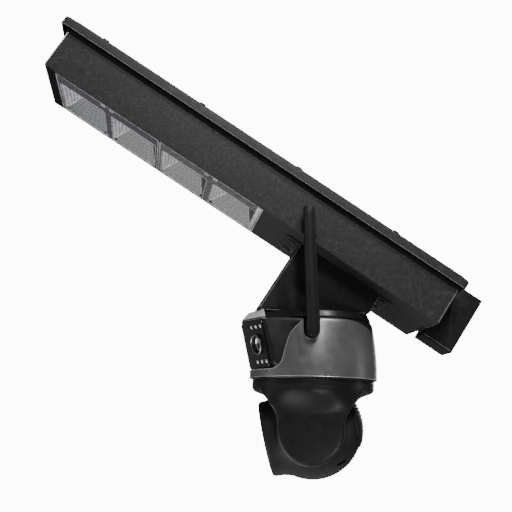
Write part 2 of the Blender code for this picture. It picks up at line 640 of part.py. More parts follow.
def camera_core():
    """The seat cap, inner housing, outer covers and the twin-lens block."""
    turned("seat_cap", [(0, -GAP), (CAP_R - 2 * mm, -GAP), (CAP_R, -2 * mm), (CAP_R, CAP_Z + 0.5 * mm),
                        (CAP_R - 1 * mm, CAP_Z), (0, CAP_Z)], CAMERA, BLACK_PLASTIC, steps=40)
    outer = shell_outline(-CORE_STEP)
    outer[0] = (outer[0][0], CORE_TOP)
    inner = [(r - CORE_WALL, z) for r, z in outer]
    inner[0] = (inner[0][0], CORE_TOP - CORE_WALL)
    core = turned("inner_housing", [(0, CORE_TOP)] + outer + inner[::-1] + [(0, CORE_TOP - CORE_WALL)],
                  CAMERA, BLACK_PLASTIC)
    neck = rod("housing_neck", CAP_R - 8 * mm, (0, 0, CAP_Z - GAP), (0, 0, CORE_TOP - 1 * mm), CAMERA,
               segments=40)
    fuse(core, neck)
    cut(core, rod("core_window", 14 * mm, (-70 * mm, 0, -36 * mm), (-45 * mm, 0, -36 * mm), CAMERA))

    block = lens_block_solid("lens_block", BLACK_PLASTIC)
    around = [(r + GAP, z) for r, z in outer]
    core_clear = turned("core_clearance", [(0, CORE_TOP)] + around + [(0, outer[-1][1])], CAMERA)
    cap_clear = rod("cap_clearance", CAP_R + GAP, (0, 0, CORE_TOP - 1 * mm), (0, 0, 10 * mm), CAMERA,
                    segments=40)
    cut(block, core_clear, cap_clear)

    front = shell_ring("front_shell", CAMERA, GREY_PLASTIC)
    cut(front, rear_region("rear_region", 0.0), front_opening(),
        lens_block_solid("block_clearance", None, GAP))
    rear = shell_ring("rear_cover", CAMERA, BLACK_PLASTIC)
    keep(rear, rear_region("rear_keep", GAP))
    room = AERIAL_R + 1 * mm
    notch = rod("aerial_notch", room, (AERIAL_X, AERIAL_Y - 15 * mm, AERIAL_Z),
                (AERIAL_X, AERIAL_Y + 15 * mm, AERIAL_Z), CAMERA, segments=20)
    slot = box("aerial_slot", (AERIAL_X - room, AERIAL_Y - 15 * mm, AERIAL_Z),
               (AERIAL_X + room, AERIAL_Y + 15 * mm, 5 * mm), CAMERA)
    cut(front, notch, slot)

    visor = lens_block_solid("lens_visor", BLACK_PLASTIC, 1.5 * mm)
    cut(visor,
        box("visor_below", (-100 * mm, -80 * mm, -80 * mm), (0, 80 * mm, BLOCK_TOP + GAP), CAMERA),
        rod("visor_back", CAP_R + 1 * mm, (0, 0, -20 * mm), (0, 0, 20 * mm), CAMERA, segments=40))

    for side, label in ((-1, "near"), (1, "far")):
        fixed_lens(block, side, label)


def fixed_lens(block, side, label):
    """One lens of the block: a smoked face plate, a barrel in a bore and its glass."""
    frame = face_frame(f"lens_face_{label}", side)
    length, height, thick = FACE_PLATE
    plate = rounded_box(f"face_plate_{label}", (-BLOCK_LENS_ALONG + 3 * mm, -height / 2, GAP),
                        (-BLOCK_LENS_ALONG + 3 * mm + length, height / 2, GAP + thick), frame,
                        LENS_GLASS, axis=2, radius=3 * mm)
    barrel_r = BLOCK_LENS_R
    bore = rod(f"lens_bore_{label}", barrel_r + GAP, (0, 0, -6.5 * mm), (0, 0, 5 * mm), frame, segments=28)
    cut(plate, bore)
    cut(block, bore)
    turned(f"lens_barrel_{label}",
           [(barrel_r, 2.6 * mm), (barrel_r, -6.2 * mm), (3.5 * mm, -6.2 * mm), (3.5 * mm, -4 * mm),
            (6.3 * mm, -1 * mm), (8.2 * mm, 2.6 * mm)], frame, BLACK_PLASTIC, steps=28, closed=True)
    turned(f"lens_glass_{label}",
           [(0, -0.9 * mm), (3.2 * mm, -1.2 * mm), (5.2 * mm, -1.8 * mm), (4 * mm, -2.9 * mm),
            (0, -2.9 * mm)], frame, LENS_GLASS, steps=24)


def housing_inside():
    """The main board, the pan motor and the pinion that turns the head."""
    top = -15 * mm - GAP
    board = rod("main_board", 42 * mm, (0, 0, top - 3 * mm), (0, 0, top - 1.4 * mm), CAMERA,
                GREEN_BOARD, segments=32)
    fuse(board, box("main_chip", (-12 * mm, 8 * mm, top - 6 * mm), (4 * mm, 24 * mm, top - 2 * mm), CAMERA),
         box("main_socket", (-26 * mm, -20 * mm, top - 9 * mm), (-10 * mm, -8 * mm, top - 2 * mm), CAMERA))
    motor_x = (PAN_GEAR_TEETH + PINION_TEETH) / 2 * GEAR_MODULE
    rod("pan_motor", 12 * mm, (motor_x, 0, -41 * mm), (motor_x, 0, -24 * mm), CAMERA, STEEL, segments=28)
    pinion_frame = empty("pinion_axis", CAMERA, Matrix.Translation((motor_x, 0, GEAR_Z)))
    gear("pan_pinion", PINION_TEETH, 4.5 * mm, 0, pinion_frame, ACETAL, phase=0.5, hub_top=9.5 * mm)


def gear(name, teeth, thick, bore, frame, look, phase=0.0, hub_top=None):
    """A spur gear with straight-sided teeth, its lower face at the frame's Z = 0."""
    pitch_r = teeth * GEAR_MODULE / 2
    tip, root = pitch_r + 0.75 * GEAR_MODULE, pitch_r - 1.1 * GEAR_MODULE
    outline = []
    for tooth in range(teeth):
        for turn, radius in ((-0.36, root), (-0.11, tip), (0.11, tip), (0.36, root)):
            angle = 2 * math.pi * (tooth + turn + phase) / teeth
            outline.append((radius * math.cos(angle), radius * math.sin(angle)))
    obj = prism(name, outline, 0, thick, frame, look, normal="Z")
    if bore:
        cut(obj, rod(f"{name}_bore", bore, (0, 0, -1 * mm), (0, 0, thick + 1 * mm), frame, segments=32))
    if hub_top:
        fuse(obj, rod(f"{name}_hub", 2.5 * mm, (0, 0, thick / 2), (0, 0, hub_top), frame, segments=12))
    return obj


# ---------------------------------------------------------------- panning yoke
def yoke():
    """A hollow ring with two arms that carry the head between them."""
    wall = 2.5 * mm
    hole = 20 * mm
    outer = [(RING_R, RING_TOP), (RING_R, -75 * mm), (56.5 * mm, -80.5 * mm), (51 * mm, RING_FOOT)]
    inner = [(DOME_R - wall, RING_FOOT), (DOME_R - wall, DOME_TOP - wall), (hole, DOME_TOP - wall)]
    loop = [(hole, DOME_TOP), (DOME_R, DOME_TOP), (DOME_R, RING_TOP)] + outer + inner
    ring = turned("yoke", loop, PAN, BLACK_PLASTIC, closed=True)
    half = ARM_WIDTH / 2
    arm_top = RING_TOP - 1 * mm
    outline = [(half, arm_top)] + arc((0, TILT_Z), half, 0, -180, 14) + [(-half, arm_top)]
    for side, label in ((-1, "near"), (1, "far")):
        low, high = sorted((side * ARM_IN, side * ARM_OUT))
        arm = prism(f"arm_{label}", outline, low, high, PAN)
        fuse(ring, arm)
        low, high = sorted((side * (ARM_OUT - 7 * mm), side * (ARM_OUT + 5 * mm)))
        pocket = rod(f"arm_pocket_{label}", ARM_COVER_R, (0, low, TILT_Z), (0, high, TILT_Z), PAN,
                     segments=32)
        bore = rod(f"arm_bore_{label}", PIN_R + GAP, (0, side * 30 * mm, TILT_Z),
                   (0, side * 60 * mm, TILT_Z), PAN, segments=20)
        cut(ring, pocket, bore)
        start = side * (ARM_OUT - 1.6 * mm)
        rod(f"arm_cover_{label}", ARM_COVER_R - GAP, (0, start, TILT_Z),
            (0, side * (ARM_OUT + 0.6 * mm), TILT_Z), PAN, BLACK_PLASTIC, segments=32,
            end_radius=ARM_COVER_R - 1.5 * mm)
    gear_frame = empty("pan_gear_seat", PAN, Matrix.Translation((0, 0, GEAR_Z)))
    hub = gear("pan_gear", PAN_GEAR_TEETH, 4 * mm, 10 * mm, gear_frame, ACETAL, phase=0)
    hub.rotation_euler.z = -PAN_REST
    fuse(hub, hub_sleeve())
    rod("tilt_motor", 14 * mm, (0, ARM_OUT - 6.7 * mm, TILT_Z), (0, ARM_OUT - 2 * mm, TILT_Z), PAN,
        STEEL)


def hub_sleeve():
    """The sleeve that drops from the pan gear onto the ring."""
    top = GEAR_Z + 2 * mm
    return turned("gear_sleeve", [(17 * mm, top), (17 * mm, DOME_TOP + GAP), (10 * mm, DOME_TOP + GAP),
                                  (10 * mm, top)], PAN, steps=32, closed=True)


# ---------------------------------------------------------------- tilting head
def ball_half(name, front, look):
    """One half of the head's ball shell, flat on both flanks, with the hood on its front."""
    bm = bmesh.new()
    bmesh.ops.create_uvsphere(bm, u_segments=36, v_segments=20, radius=BALL_R)
    shell = add(name, bm, TILT, look)
    round_shading(shell)
    if front:
        fuse(shell, rod("hood", HOOD_R, (HOOD_FRONT, 0, 0), (-5 * mm, 0, 0), TILT, segments=40))
    flank = BALL_HALF_WIDTH
    far = 80 * mm                     # past everything the head is made of
    for side, label in ((-1, "near"), (1, "far")):
        low, high = sorted((side * flank, side * far))
        cut(shell, box(f"{name}_flank_{label}", (-far, low, -far), (far, high, far), TILT))
    hollow = bmesh.new()
    bmesh.ops.create_uvsphere(hollow, u_segments=24, v_segments=14, radius=BALL_R - BALL_WALL)
    inside = add(f"{name}_hollow", hollow, TILT, None)
    for side, label in ((-1, "near"), (1, "far")):
        low, high = sorted((side * (flank - BALL_WALL), side * far))
        cut(inside, box(f"{name}_hollow_{label}", (-far, low, -far), (far, high, far), TILT))
    cut(shell, inside)
    if front:
        cut(shell, box("front_half", (HEAD_SPLIT - GAP / 2, -far, -far), (far, far, far), TILT),
            rod("hood_mouth", HOOD_R - HOOD_WALL, (HOOD_FRONT - 5 * mm, 0, 0), (-34 * mm, 0, 0), TILT,
                segments=40))
    else:
        cut(shell, box("rear_half", (-far, -far, -far), (HEAD_SPLIT + GAP / 2, far, far), TILT))
    for side, label in ((-1, "near"), (1, "far")):
        cut(shell, rod(f"{name}_pin_hole_{label}", PIN_R + GAP, (0, side * 30 * mm, 0),
                       (0, side * 50 * mm, 0), TILT, segments=20))
    return shell


def head():
    """The ball's two halves, its lens in a smoked bezel, the speaker cover and two pins."""
    ball_half("head_front", True, BLACK_PLASTIC)
    ball_half("head_rear", False, BLACK_PLASTIC)
    forward = Matrix.Rotation(math.radians(-90), 4, "Y")
    face = -HOOD_FRONT
    rim = HOOD_R - HOOD_WALL - GAP
    turned("head_bezel", [(rim, face - 3 * mm), (rim, face - 8 * mm), (14.3 * mm, face - 8 * mm),
                          (14.3 * mm, face - 5 * mm)],
           TILT, LENS_GLASS, steps=40, place=forward, closed=True)
    turned("head_lens_barrel",
           [(14 * mm, face - 3 * mm), (14 * mm, face - 32 * mm), (5 * mm, face - 32 * mm),
            (5 * mm, face - 10 * mm), (12 * mm, face - 4 * mm), (12 * mm, face - 3 * mm)],
           TILT, BLACK_PLASTIC, steps=32, place=forward, closed=True)
    turned("head_lens_glass",
           [(0, face - 4.2 * mm), (5.5 * mm, face - 5 * mm), (8 * mm, face - 6.4 * mm),
            (5.8 * mm, face - 8.4 * mm), (0, face - 8.4 * mm)],
           TILT, LENS_GLASS, steps=28, place=forward)
    turned("speaker_cover", speaker_profile(), TILT, BLACK_PLASTIC, steps=32,
           place=Matrix.Rotation(math.radians(90), 4, "Y"))
    inner_end = BALL_HALF_WIDTH - 6 * mm
    rod("tilt_pin_near", PIN_R, (0, -(ARM_OUT - 2.3 * mm), 0), (0, -inner_end, 0), TILT, STEEL,
        segments=20)
    rod("tilt_pin_far", PIN_R, (0, ARM_OUT - 7 * mm, 0), (0, inner_end, 0), TILT, STEEL, segments=20)


def speaker_profile():
    """A thin spherical cap over the ball's back, as radius and height from its centre."""
    low, high = BALL_R + GAP, BALL_R + 2.6 * mm
    outer = [(y, x) for x, y in arc((0, 0), high, 0, 30, 5)]
    inner = [(y, x) for x, y in arc((0, 0), low, 34, 0, 6)]
    return outer + inner


# ---------------------------------------------------------------- aerial
def aerial():
    """A flat paddle aerial that swings on a pivot at its lower end."""
    half_thick = 4.2 * mm
    top = AERIAL_LENGTH - AERIAL_R
    foot = arc((0, 0), AERIAL_R, 180, 360, 10)
    right_corner = arc((3.2 * mm, top - 2 * mm), 2 * mm, 0, 90, 3)
    left_corner = arc((-3.2 * mm, top - 2 * mm), 2 * mm, 90, 180, 3)
    outline = foot + [(5.2 * mm, top - 3 * mm)] + right_corner + left_corner
    paddle = prism("aerial", outline, -half_thick, half_thick, AERIAL, BLACK_PLASTIC)
    fuse(paddle, rod("aerial_pivot", AERIAL_PIVOT_R, (0, 3 * mm, 0), (0, 13 * mm, 0), AERIAL, segments=16))


# ---------------------------------------------------------------- assembly
FLAP_EDGES = [lamp_x(*to_underside(x, 0)) for x in WEDGE_ENDS]
WEDGE_FLAPS = {"flap_upper": (FLAP_EDGES[0] - WEDGE_FLAP, FLAP_EDGES[0] + 1 * mm),
               "flap_lower": (FLAP_EDGES[1] - 1 * mm, FLAP_EDGES[1] + WEDGE_FLAP)}
ADAPTER_SCREWS = [(x, y) for x in (FLAP_EDGES[0] - WEDGE_FLAP / 2, FLAP_EDGES[1] + WEDGE_FLAP / 2)
                  for y in (-SCREW_SPREAD, SCREW_SPREAD)]

clear_scene()
PARTS = new_collection("floodlight_security_camera")
CUTTERS = new_collection("cutters")
LAMP = empty("lamp_frame", None, Matrix.Rotation(LAMP_SLOPE, 4, "Y"))
CAMERA = empty("camera_frame", None, Matrix.Translation((SEAT_FROM_MOUNT[0], 0, SEAT_FROM_MOUNT[1])))
PAN = empty("pan_axis", CAMERA, Matrix.Rotation(PAN_REST, 4, "Z"))
TILT = empty("tilt_axis", PAN, Matrix.Translation((0, 0, TILT_Z)) @ Matrix.Rotation(-BALL_PITCH, 4, "Y"))
AERIAL = empty("aerial_axis", CAMERA, Matrix.Translation((AERIAL_X, AERIAL_Y, AERIAL_Z))
               @ Matrix.Rotation(AERIAL_LEAN, 4, "Y"))

lamp_housing()
lamp_lid()
lid_gasket()
solar_panel()
led_modules()
lamp_electronics()
end_bracket()
wedge_adapter()
camera_core()
housing_inside()
yoke()
head()
aerial()
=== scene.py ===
import json
import math

import bmesh
import bpy
from mathutils import Matrix, Vector


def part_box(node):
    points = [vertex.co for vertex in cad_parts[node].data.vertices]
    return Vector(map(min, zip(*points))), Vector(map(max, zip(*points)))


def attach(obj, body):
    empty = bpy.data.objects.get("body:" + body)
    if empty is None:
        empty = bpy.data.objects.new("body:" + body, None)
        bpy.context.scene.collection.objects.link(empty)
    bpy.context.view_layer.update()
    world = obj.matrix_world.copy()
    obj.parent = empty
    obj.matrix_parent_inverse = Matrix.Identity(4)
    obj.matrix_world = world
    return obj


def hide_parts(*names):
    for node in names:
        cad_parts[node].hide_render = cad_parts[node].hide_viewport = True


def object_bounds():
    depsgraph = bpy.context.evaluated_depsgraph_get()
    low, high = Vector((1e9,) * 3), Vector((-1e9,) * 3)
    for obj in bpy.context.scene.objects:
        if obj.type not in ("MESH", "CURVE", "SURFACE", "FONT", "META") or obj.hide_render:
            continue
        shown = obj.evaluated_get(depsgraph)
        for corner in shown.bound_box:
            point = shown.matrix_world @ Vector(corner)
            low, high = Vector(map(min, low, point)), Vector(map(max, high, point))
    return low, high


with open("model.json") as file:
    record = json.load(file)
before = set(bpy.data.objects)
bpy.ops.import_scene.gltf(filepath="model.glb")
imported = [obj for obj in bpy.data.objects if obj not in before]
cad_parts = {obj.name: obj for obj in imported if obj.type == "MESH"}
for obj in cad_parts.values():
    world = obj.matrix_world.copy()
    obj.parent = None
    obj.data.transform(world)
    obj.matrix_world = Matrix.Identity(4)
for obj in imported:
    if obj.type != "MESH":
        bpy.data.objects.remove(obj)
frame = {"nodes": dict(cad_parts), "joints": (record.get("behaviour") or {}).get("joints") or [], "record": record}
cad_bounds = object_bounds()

# The looks of a sloping solar floodlight with a pan-and-tilt camera hung below it.
# Four local frames are used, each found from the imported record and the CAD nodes:
#   LAMP    X along the lamp to its bracket, Z square to its underside
#   CAM     level, Z = 0 at the seat, Z axis on the pan axis
#   PAN     CAM turned to where the head points
#   TILT    on the tilt axis, -X out of the head's lens

mm = 0.001
GAP = 0.3 * mm
nodes = frame["nodes"]
record = frame["record"]
joints = {joint["name"]: joint for joint in frame["joints"]}
X_AXIS, Y_AXIS, Z_AXIS = Vector((1, 0, 0)), Vector((0, 1, 0)), Vector((0, 0, 1))


# ---------------- frames and measures
def axes(origin, x, y):
    """A frame at origin with that X axis and, as nearly as it can, that Y axis."""
    x = x.normalized()
    z = x.cross(y).normalized()
    return Matrix.Translation(origin) @ Matrix((x, z.cross(x), z)).transposed().to_4x4()


def points_of(node, place=Matrix()):
    inverse = place.inverted()
    return [inverse @ v.co for v in nodes[node].data.vertices]


def extent(node, place=Matrix()):
    """Lowest and highest corner of a CAD node in a local frame."""
    columns = list(zip(*points_of(node, place)))
    return Vector([min(c) for c in columns]), Vector([max(c) for c in columns])


def centre(node):
    low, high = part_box(node)
    return (low + high) / 2


def middle_of(node, place):
    """Middle of a CAD node's box in a local frame."""
    low, high = extent(node, place)
    return (low + high) / 2


def mms(*points):
    """Points given in millimetres, in metres."""
    return [tuple(c * mm for c in point) for point in points]


mount = record["mounts"][0]
pan_at = Vector(joints["pan"]["pos_m"])
tilt_at = Vector(joints["tilt"]["pos_m"])
tilt_axis = Vector(joints["tilt"]["axis"])
seat_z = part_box("seat_cap")[1].z + GAP

LAMP = axes(Vector(mount["pos_m"]), Vector(mount["axis"]), Y_AXIS)
CAM = Matrix.Translation((pan_at.x, pan_at.y, seat_z))
PAN = axes(CAM.translation, tilt_axis.cross(Z_AXIS), tilt_axis)
TILT = axes(tilt_at, tilt_at - centre("head_lens_glass"), tilt_axis)
aerial_at = Vector(joints["aerial_swing"]["pos_m"])
aerial_top = [p for p in points_of("aerial") if p.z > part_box("aerial")[1].z - 4 * mm]
aerial_up = sum(aerial_top, Vector()) / len(aerial_top) - aerial_at
aerial_up.y = 0
AERIAL = axes(aerial_at, Y_AXIS.cross(aerial_up), Y_AXIS)
TILT_Z = (CAM.inverted() @ tilt_at).z


# ---------------- materials
def new_material(name, colour, roughness, **sockets):
    mat = bpy.data.materials.new(name)
    mat.use_nodes = True
    shader = mat.node_tree.nodes["Principled BSDF"]
    for socket, value in {"Base_Color": (*colour, 1), "Roughness": roughness, **sockets}.items():
        shader.inputs[socket.replace("_", " ")].default_value = value
    return mat


def add_node(mat, kind, *values, **named):
    """A new shader node whose sockets get constants or links, in their order or by name."""
    tree = mat.node_tree
    node = tree.nodes.new("ShaderNode" + kind)
    pairs = list(zip(node.inputs, values))
    pairs += [(node.inputs[name.replace("_", " ")], value) for name, value in named.items()]
    for socket, value in pairs:
        if isinstance(value, bpy.types.NodeSocket):
            tree.links.new(value, socket)
        else:
            socket.default_value = value
    return node


def coordinates(mat, stretch=(1, 1, 1), turn=Matrix()):
    """Object coordinates in metres, turned into a frame and stretched along its axes."""
    source = add_node(mat, "TexCoord").outputs["Object"]
    rotation = turn.inverted().to_euler()
    node = add_node(mat, "Mapping", Vector=source, Rotation=rotation, Scale=stretch)
    return node.outputs["Vector"]


def noise(mat, size, detail=3.0, vector=None):
    """Noise whose features are about size metres across."""
    vector = vector or coordinates(mat)
    return add_node(mat, "TexNoise", Vector=vector, Scale=0.5 / size, Detail=detail).outputs["Fac"]


def ramp(mat, value, stops):
    """Maps a value through colour stops given as (position, colour or grey)."""
    node = add_node(mat, "ValToRGB", value)
    elements = node.color_ramp.elements
    while len(elements) < len(stops):
        elements.new(0.5)
    for element, (position, colour) in zip(elements, stops):
        element.position = position
        element.color = (*colour, 1) if isinstance(colour, tuple) else (colour, colour, colour, 1)
    return node.outputs["Color"]


def feed(mat, socket, value):
    mat.node_tree.links.new(value, mat.node_tree.nodes["Principled BSDF"].inputs[socket])


def bump(mat, height, depth, strength=1.0):
    """Adds a bump to any already there."""
    before = mat.node_tree.nodes["Principled BSDF"].inputs["Normal"].links
    named = {"Normal": before[0].from_socket} if before else {}
    node = add_node(mat, "Bump", Strength=strength, Distance=depth, Height=height, **named)
    feed(mat, "Normal", node.outputs["Normal"])


def multiplied(mat, value, factor, plus=0.0):
    node = add_node(mat, "Math", value, factor, plus)
    node.operation = "MULTIPLY_ADD"
    return node.outputs[0]


def shade(colour, factor):
    return tuple(min(1.0, c * factor) for c in colour)


def powder_coat(name, colour, specks=1.9, shine=0.2):
    """Fine-grained black powder coat: orange peel, a grain and a few lighter specks."""
    mat = new_material(name, colour, 0.55, Specular_IOR_Level=shine)
    grain, cloud = noise(mat, 0.9 * mm, 2.0), noise(mat, 3 * mm, 4.0)
    mixed = multiplied(mat, grain, 0.65, multiplied(mat, cloud, 0.35))
    feed(mat, "Base Color", ramp(mat, mixed, [
        (0.30, shade(colour, 0.62)), (0.50, colour), (0.60, shade(colour, 1.30)),
        (0.70, shade(colour, specks))]))
    feed(mat, "Roughness", ramp(mat, cloud, [(0.3, 0.46), (0.7, 0.62)]))
    bump(mat, grain, 0.12 * mm, 0.55)
    bump(mat, noise(mat, 2.4 * mm, 1.0), 0.10 * mm, 0.35)
    return mat


def moulded(name, colour, roughness, grain_size=0.5 * mm, grain=0.25, **sockets):
    """Moulded plastic: an even satin texture with slight cloudiness and rubbed patches."""
    mat = new_material(name, colour, roughness, **sockets)
    cloud = noise(mat, 14 * mm, 4.0)
    feed(mat, "Base Color", ramp(mat, cloud, [
        (0.30, shade(colour, 0.86)), (0.70, shade(colour, 1.14))]))
    feed(mat, "Roughness", ramp(mat, noise(mat, 4 * mm, 5.0), [
        (0.30, roughness - 0.05), (0.70, roughness + 0.07)]))
    bump(mat, noise(mat, grain_size, 1.0), 0.04 * mm, grain)
    return mat


def brushed(name, colour, roughness, size=0.25 * mm, along=(1, 14, 14)):
    """Rolled or turned metal with fine lines along one way."""
    mat = new_material(name, colour, roughness, Metallic=1.0)
    lines = noise(mat, size * 8, 3.0, coordinates(mat, along))
    feed(mat, "Roughness", ramp(mat, lines, [(0.3, roughness - 0.08), (0.7, roughness + 0.10)]))
    feed(mat, "Base Color", ramp(mat, noise(mat, 6 * mm, 4.0), [
        (0.3, shade(colour, 0.82)), (0.7, shade(colour, 1.08))]))
    bump(mat, lines, 0.03 * mm, 0.25)
    return mat


PAINT = powder_coat("black_powder_coat", (0.017, 0.017, 0.0175), 2.3)
# Painted shade: a darker copy of the black powder coat for the bracket and the wedge, for the shade they sit in.
PAINT_SHADED = powder_coat("wedge_powder_coat_painted_shade", (0.009, 0.009, 0.0095), 1.5, 0.12)
RUBBER = moulded("gasket_rubber", (0.004, 0.004, 0.004), 0.80, 0.4 * mm, 0.5,
                 Specular_IOR_Level=0.08)
BLACK = moulded("satin_black_plastic", (0.007, 0.007, 0.0075), 0.34, Specular_IOR_Level=0.22)
BLACK_SOFT = moulded("head_black_plastic", (0.010, 0.010, 0.0105), 0.40, Specular_IOR_Level=0.15)
AERIAL_BLACK = moulded("aerial_black_plastic", (0.005, 0.005, 0.0053), 0.45,
                       Specular_IOR_Level=0.15)
GREY = moulded("grey_metallic_plastic", (0.125, 0.125, 0.128), 0.33, 0.25 * mm, 0.12, Metallic=0.65)
# Painted highlight: light grey for the visor, standing for the lit band of the block's roof.
VISOR_HIGHLIGHT_GREY = moulded("visor_painted_highlight_plastic", (0.50, 0.50, 0.505), 0.34)
# Painted highlight: lighter grey beads along the shell's opening and rim and the lens block's edge line.
EDGE_HIGHLIGHT = moulded("painted_highlight_edge", (0.22, 0.22, 0.225), 0.28, Metallic=0.3)
# Painted highlight: a lighter coat for thin beads along painted edges, where light catches them.
PAINT_EDGE_HIGHLIGHT = powder_coat("painted_highlight_paint_edge", (0.12, 0.12, 0.122), 1.3)
# Painted highlight: a near-white coat for beads on the free end's upright edges, where they catch the light.
PAINT_EDGE_GLINT = powder_coat("painted_glint_paint_edge", (0.75, 0.75, 0.75), 1.1)
# Painted highlight: a lighter black for beads along edges of the black mouldings, where light catches them.
PLASTIC_EDGE_HIGHLIGHT = moulded("painted_highlight_plastic_edge", (0.030, 0.030, 0.032), 0.30)
SMOKED = moulded("smoked_window", (0.007, 0.006, 0.007), 0.10, 1.5 * mm, 0.04, Coat_Weight=0.6)
STEEL = brushed("zinc_plated_steel", (0.42, 0.42, 0.43), 0.32)
BLACK_SCREW = brushed("blackened_steel", (0.05, 0.05, 0.052), 0.36)
ALUMINIUM = brushed("rolled_aluminium", (0.58, 0.59, 0.60), 0.34)
ACETAL = moulded("natural_acetal", (0.72, 0.71, 0.67), 0.42, 0.6 * mm, 0.2)
SILVER = brushed("lens_ring", (0.55, 0.55, 0.57), 0.22, 0.15 * mm, (8, 8, 1))


def optic_material(name, colour, roughness, metallic=0.0):
    """Clear moulding over a bright reflector, with flow marks and tiny facets."""
    mat = new_material(name, colour, roughness, Metallic=metallic, Coat_Weight=0.5,
                       Coat_Roughness=0.05)
    feed(mat, "Base Color", ramp(mat, noise(mat, 3 * mm, 5.0), [
        (0.30, shade(colour, 0.55)), (0.52, colour), (0.72, shade(colour, 1.5))]))
    feed(mat, "Roughness", ramp(mat, noise(mat, 1.2 * mm, 3.0), [
        (0.3, max(0.04, roughness - 0.08)), (0.7, roughness + 0.15)]))
    bump(mat, noise(mat, 1.6 * mm, 2.0), 0.25 * mm, 0.5)
    return mat


OPTIC_PLATE = optic_material("optic_plate", (0.045, 0.043, 0.058), 0.16)
OPTIC_GREY = optic_material("optic_plate_grey", (0.085, 0.085, 0.082), 0.20)
# Painted light on the reflector cups: a lit wall with painted glint dashes, and shaded copies of the same moulding
# for the other walls.
OPTIC_LIT_WALL = optic_material("optic_painted_lit_wall", (0.42, 0.43, 0.46), 0.30, 0.25)
OPTIC_GLINT_DASH = optic_material("optic_painted_glint_dash", (0.95, 0.95, 0.98), 0.24, 0.1)
OPTIC_SHADED_WALL = optic_material("optic_painted_shade_wall", (0.016, 0.016, 0.014), 0.20)
OPTIC_BLUE_SHADED_WALL = optic_material("optic_blue_painted_shade_wall", (0.006, 0.009, 0.024), 0.18)
OPTIC_RIM = optic_material("optic_rim", (0.42, 0.42, 0.43), 0.22, 0.2)
OPTIC_FROST = optic_material("optic_frosted_end", (0.50, 0.50, 0.49), 0.40)


def solar_material():
    """Dark blue cells under glass, with fine fingers across them."""
    mat = new_material("solar_cells", (0.008, 0.011, 0.034), 0.22, Coat_Weight=1.0,
                       Coat_Roughness=0.04)
    local = coordinates(mat, (1, 1, 1), LAMP.to_3x3().to_4x4())
    fingers = add_node(mat, "TexWave", local, Scale=170)
    fingers.bands_direction = "X"
    base = ramp(mat, noise(mat, 7 * mm, 2.0), [
        (0.3, (0.005, 0.008, 0.026)), (0.7, (0.012, 0.017, 0.050))])
    mix = add_node(mat, "Mix")
    mix.data_type = "RGBA"
    mix.inputs["B"].default_value = (0.10, 0.11, 0.14, 1)
    lines = ramp(mat, fingers.outputs["Fac"], [(0.90, 0.0), (0.97, 0.7)])
    mat.node_tree.links.new(lines, mix.inputs["Factor"])
    mat.node_tree.links.new(base, mix.inputs["A"])
    feed(mat, "Base Color", mix.outputs["Result"])
    return mat


SOLAR = solar_material()


def board_material(name, colour):
    """Solder mask with copper tracks under it and paler pads."""
    mat = new_material(name, colour, 0.38, Coat_Weight=0.3)
    tracks = add_node(mat, "TexBrick", Vector=coordinates(mat), Scale=180, Mortar_Size=0.06,
                      Color1=(*colour, 1), Color2=(*shade(colour, 0.8), 1),
                      Mortar=(*shade(colour, 1.6), 1))
    feed(mat, "Base Color", tracks.outputs["Color"])
    bump(mat, tracks.outputs["Fac"], 0.05 * mm, 0.3)
    return mat


GREEN_BOARD = board_material("green_circuit_board", (0.020, 0.110, 0.050))
WHITE_BOARD = board_material("white_led_board", (0.62, 0.62, 0.60))
PHOSPHOR = moulded("led_phosphor", (0.80, 0.62, 0.16), 0.5, 0.3 * mm, 0.4)
WRAP = moulded("battery_wrap", (0.03, 0.12, 0.36), 0.30, 2 * mm, 0.2)
LENS = moulded("coated_lens_glass", (0.030, 0.012, 0.022), 0.04, 3 * mm, 0.02, Coat_Weight=1.0)
# Painted reflection: a pinkish ring on each lens dome for the coating's reflection.
LENS_REFLECTION_RING = moulded("painted_lens_coating_reflection", (0.22, 0.05, 0.07), 0.10, 3 * mm, 0.02, Coat_Weight=1.0)
IR_LED = moulded("infrared_led", (0.50, 0.50, 0.53), 0.10, 0.8 * mm, 0.1, Coat_Weight=1.0)


# ---------------- mesh helpers
class Shape:
    """Meshes in one frame, each with its own material, that end as one piece."""

    def __init__(self):
        self.bm = bmesh.new()
        self.materials = []

    def add(self, bm, mat, place=Matrix()):
        if mat not in self.materials:
            self.materials.append(mat)
        index = self.materials.index(mat)
        bmesh.ops.transform(bm, matrix=place, verts=bm.verts)
        bmesh.ops.recalc_face_normals(bm, faces=bm.faces)
        for face in bm.faces:
            face.material_index = index
        mesh = bpy.data.meshes.new("part")
        bm.to_mesh(mesh)
        bm.free()
        self.bm.from_mesh(mesh)
        bpy.data.meshes.remove(mesh)
        return self

    def bead(self, start, end, radius, mat, sides=6):
        """A straight round bead, as along a folded edge."""
        return self.add(tube([Vector(start), Vector(end)], radius, sides), mat)

    def box(self, low, high, mat, edge=0.0):
        return self.add(block(low, high, edge), mat)

    def turned(self, mat, steps, profile, place=Matrix(), closed=True):
        """A part turned from (radius, height) points given in millimetres."""
        return self.add(revolve(mms(*profile), steps, closed), mat, place)

    def piece(self, name, place, body, slot, replaces=(), sharp=32):
        bmesh.ops.transform(self.bm, matrix=place, verts=self.bm.verts)
        mesh = bpy.data.meshes.new(name)
        self.bm.to_mesh(mesh)
        self.bm.free()
        obj = bpy.data.objects.new(name, mesh)
        bpy.context.scene.collection.objects.link(obj)
        for mat in self.materials:
            mesh.materials.append(mat)
        mesh.shade_smooth()
        mesh.set_sharp_from_angle(angle=math.radians(sharp))
        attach(obj, body)
        if replaces:
            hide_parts(*replaces)


def single(name, bm, mat, place, body, slot, replaces=(), sharp=32):
    Shape().add(bm, mat).piece(name, place, body, slot, replaces, sharp)


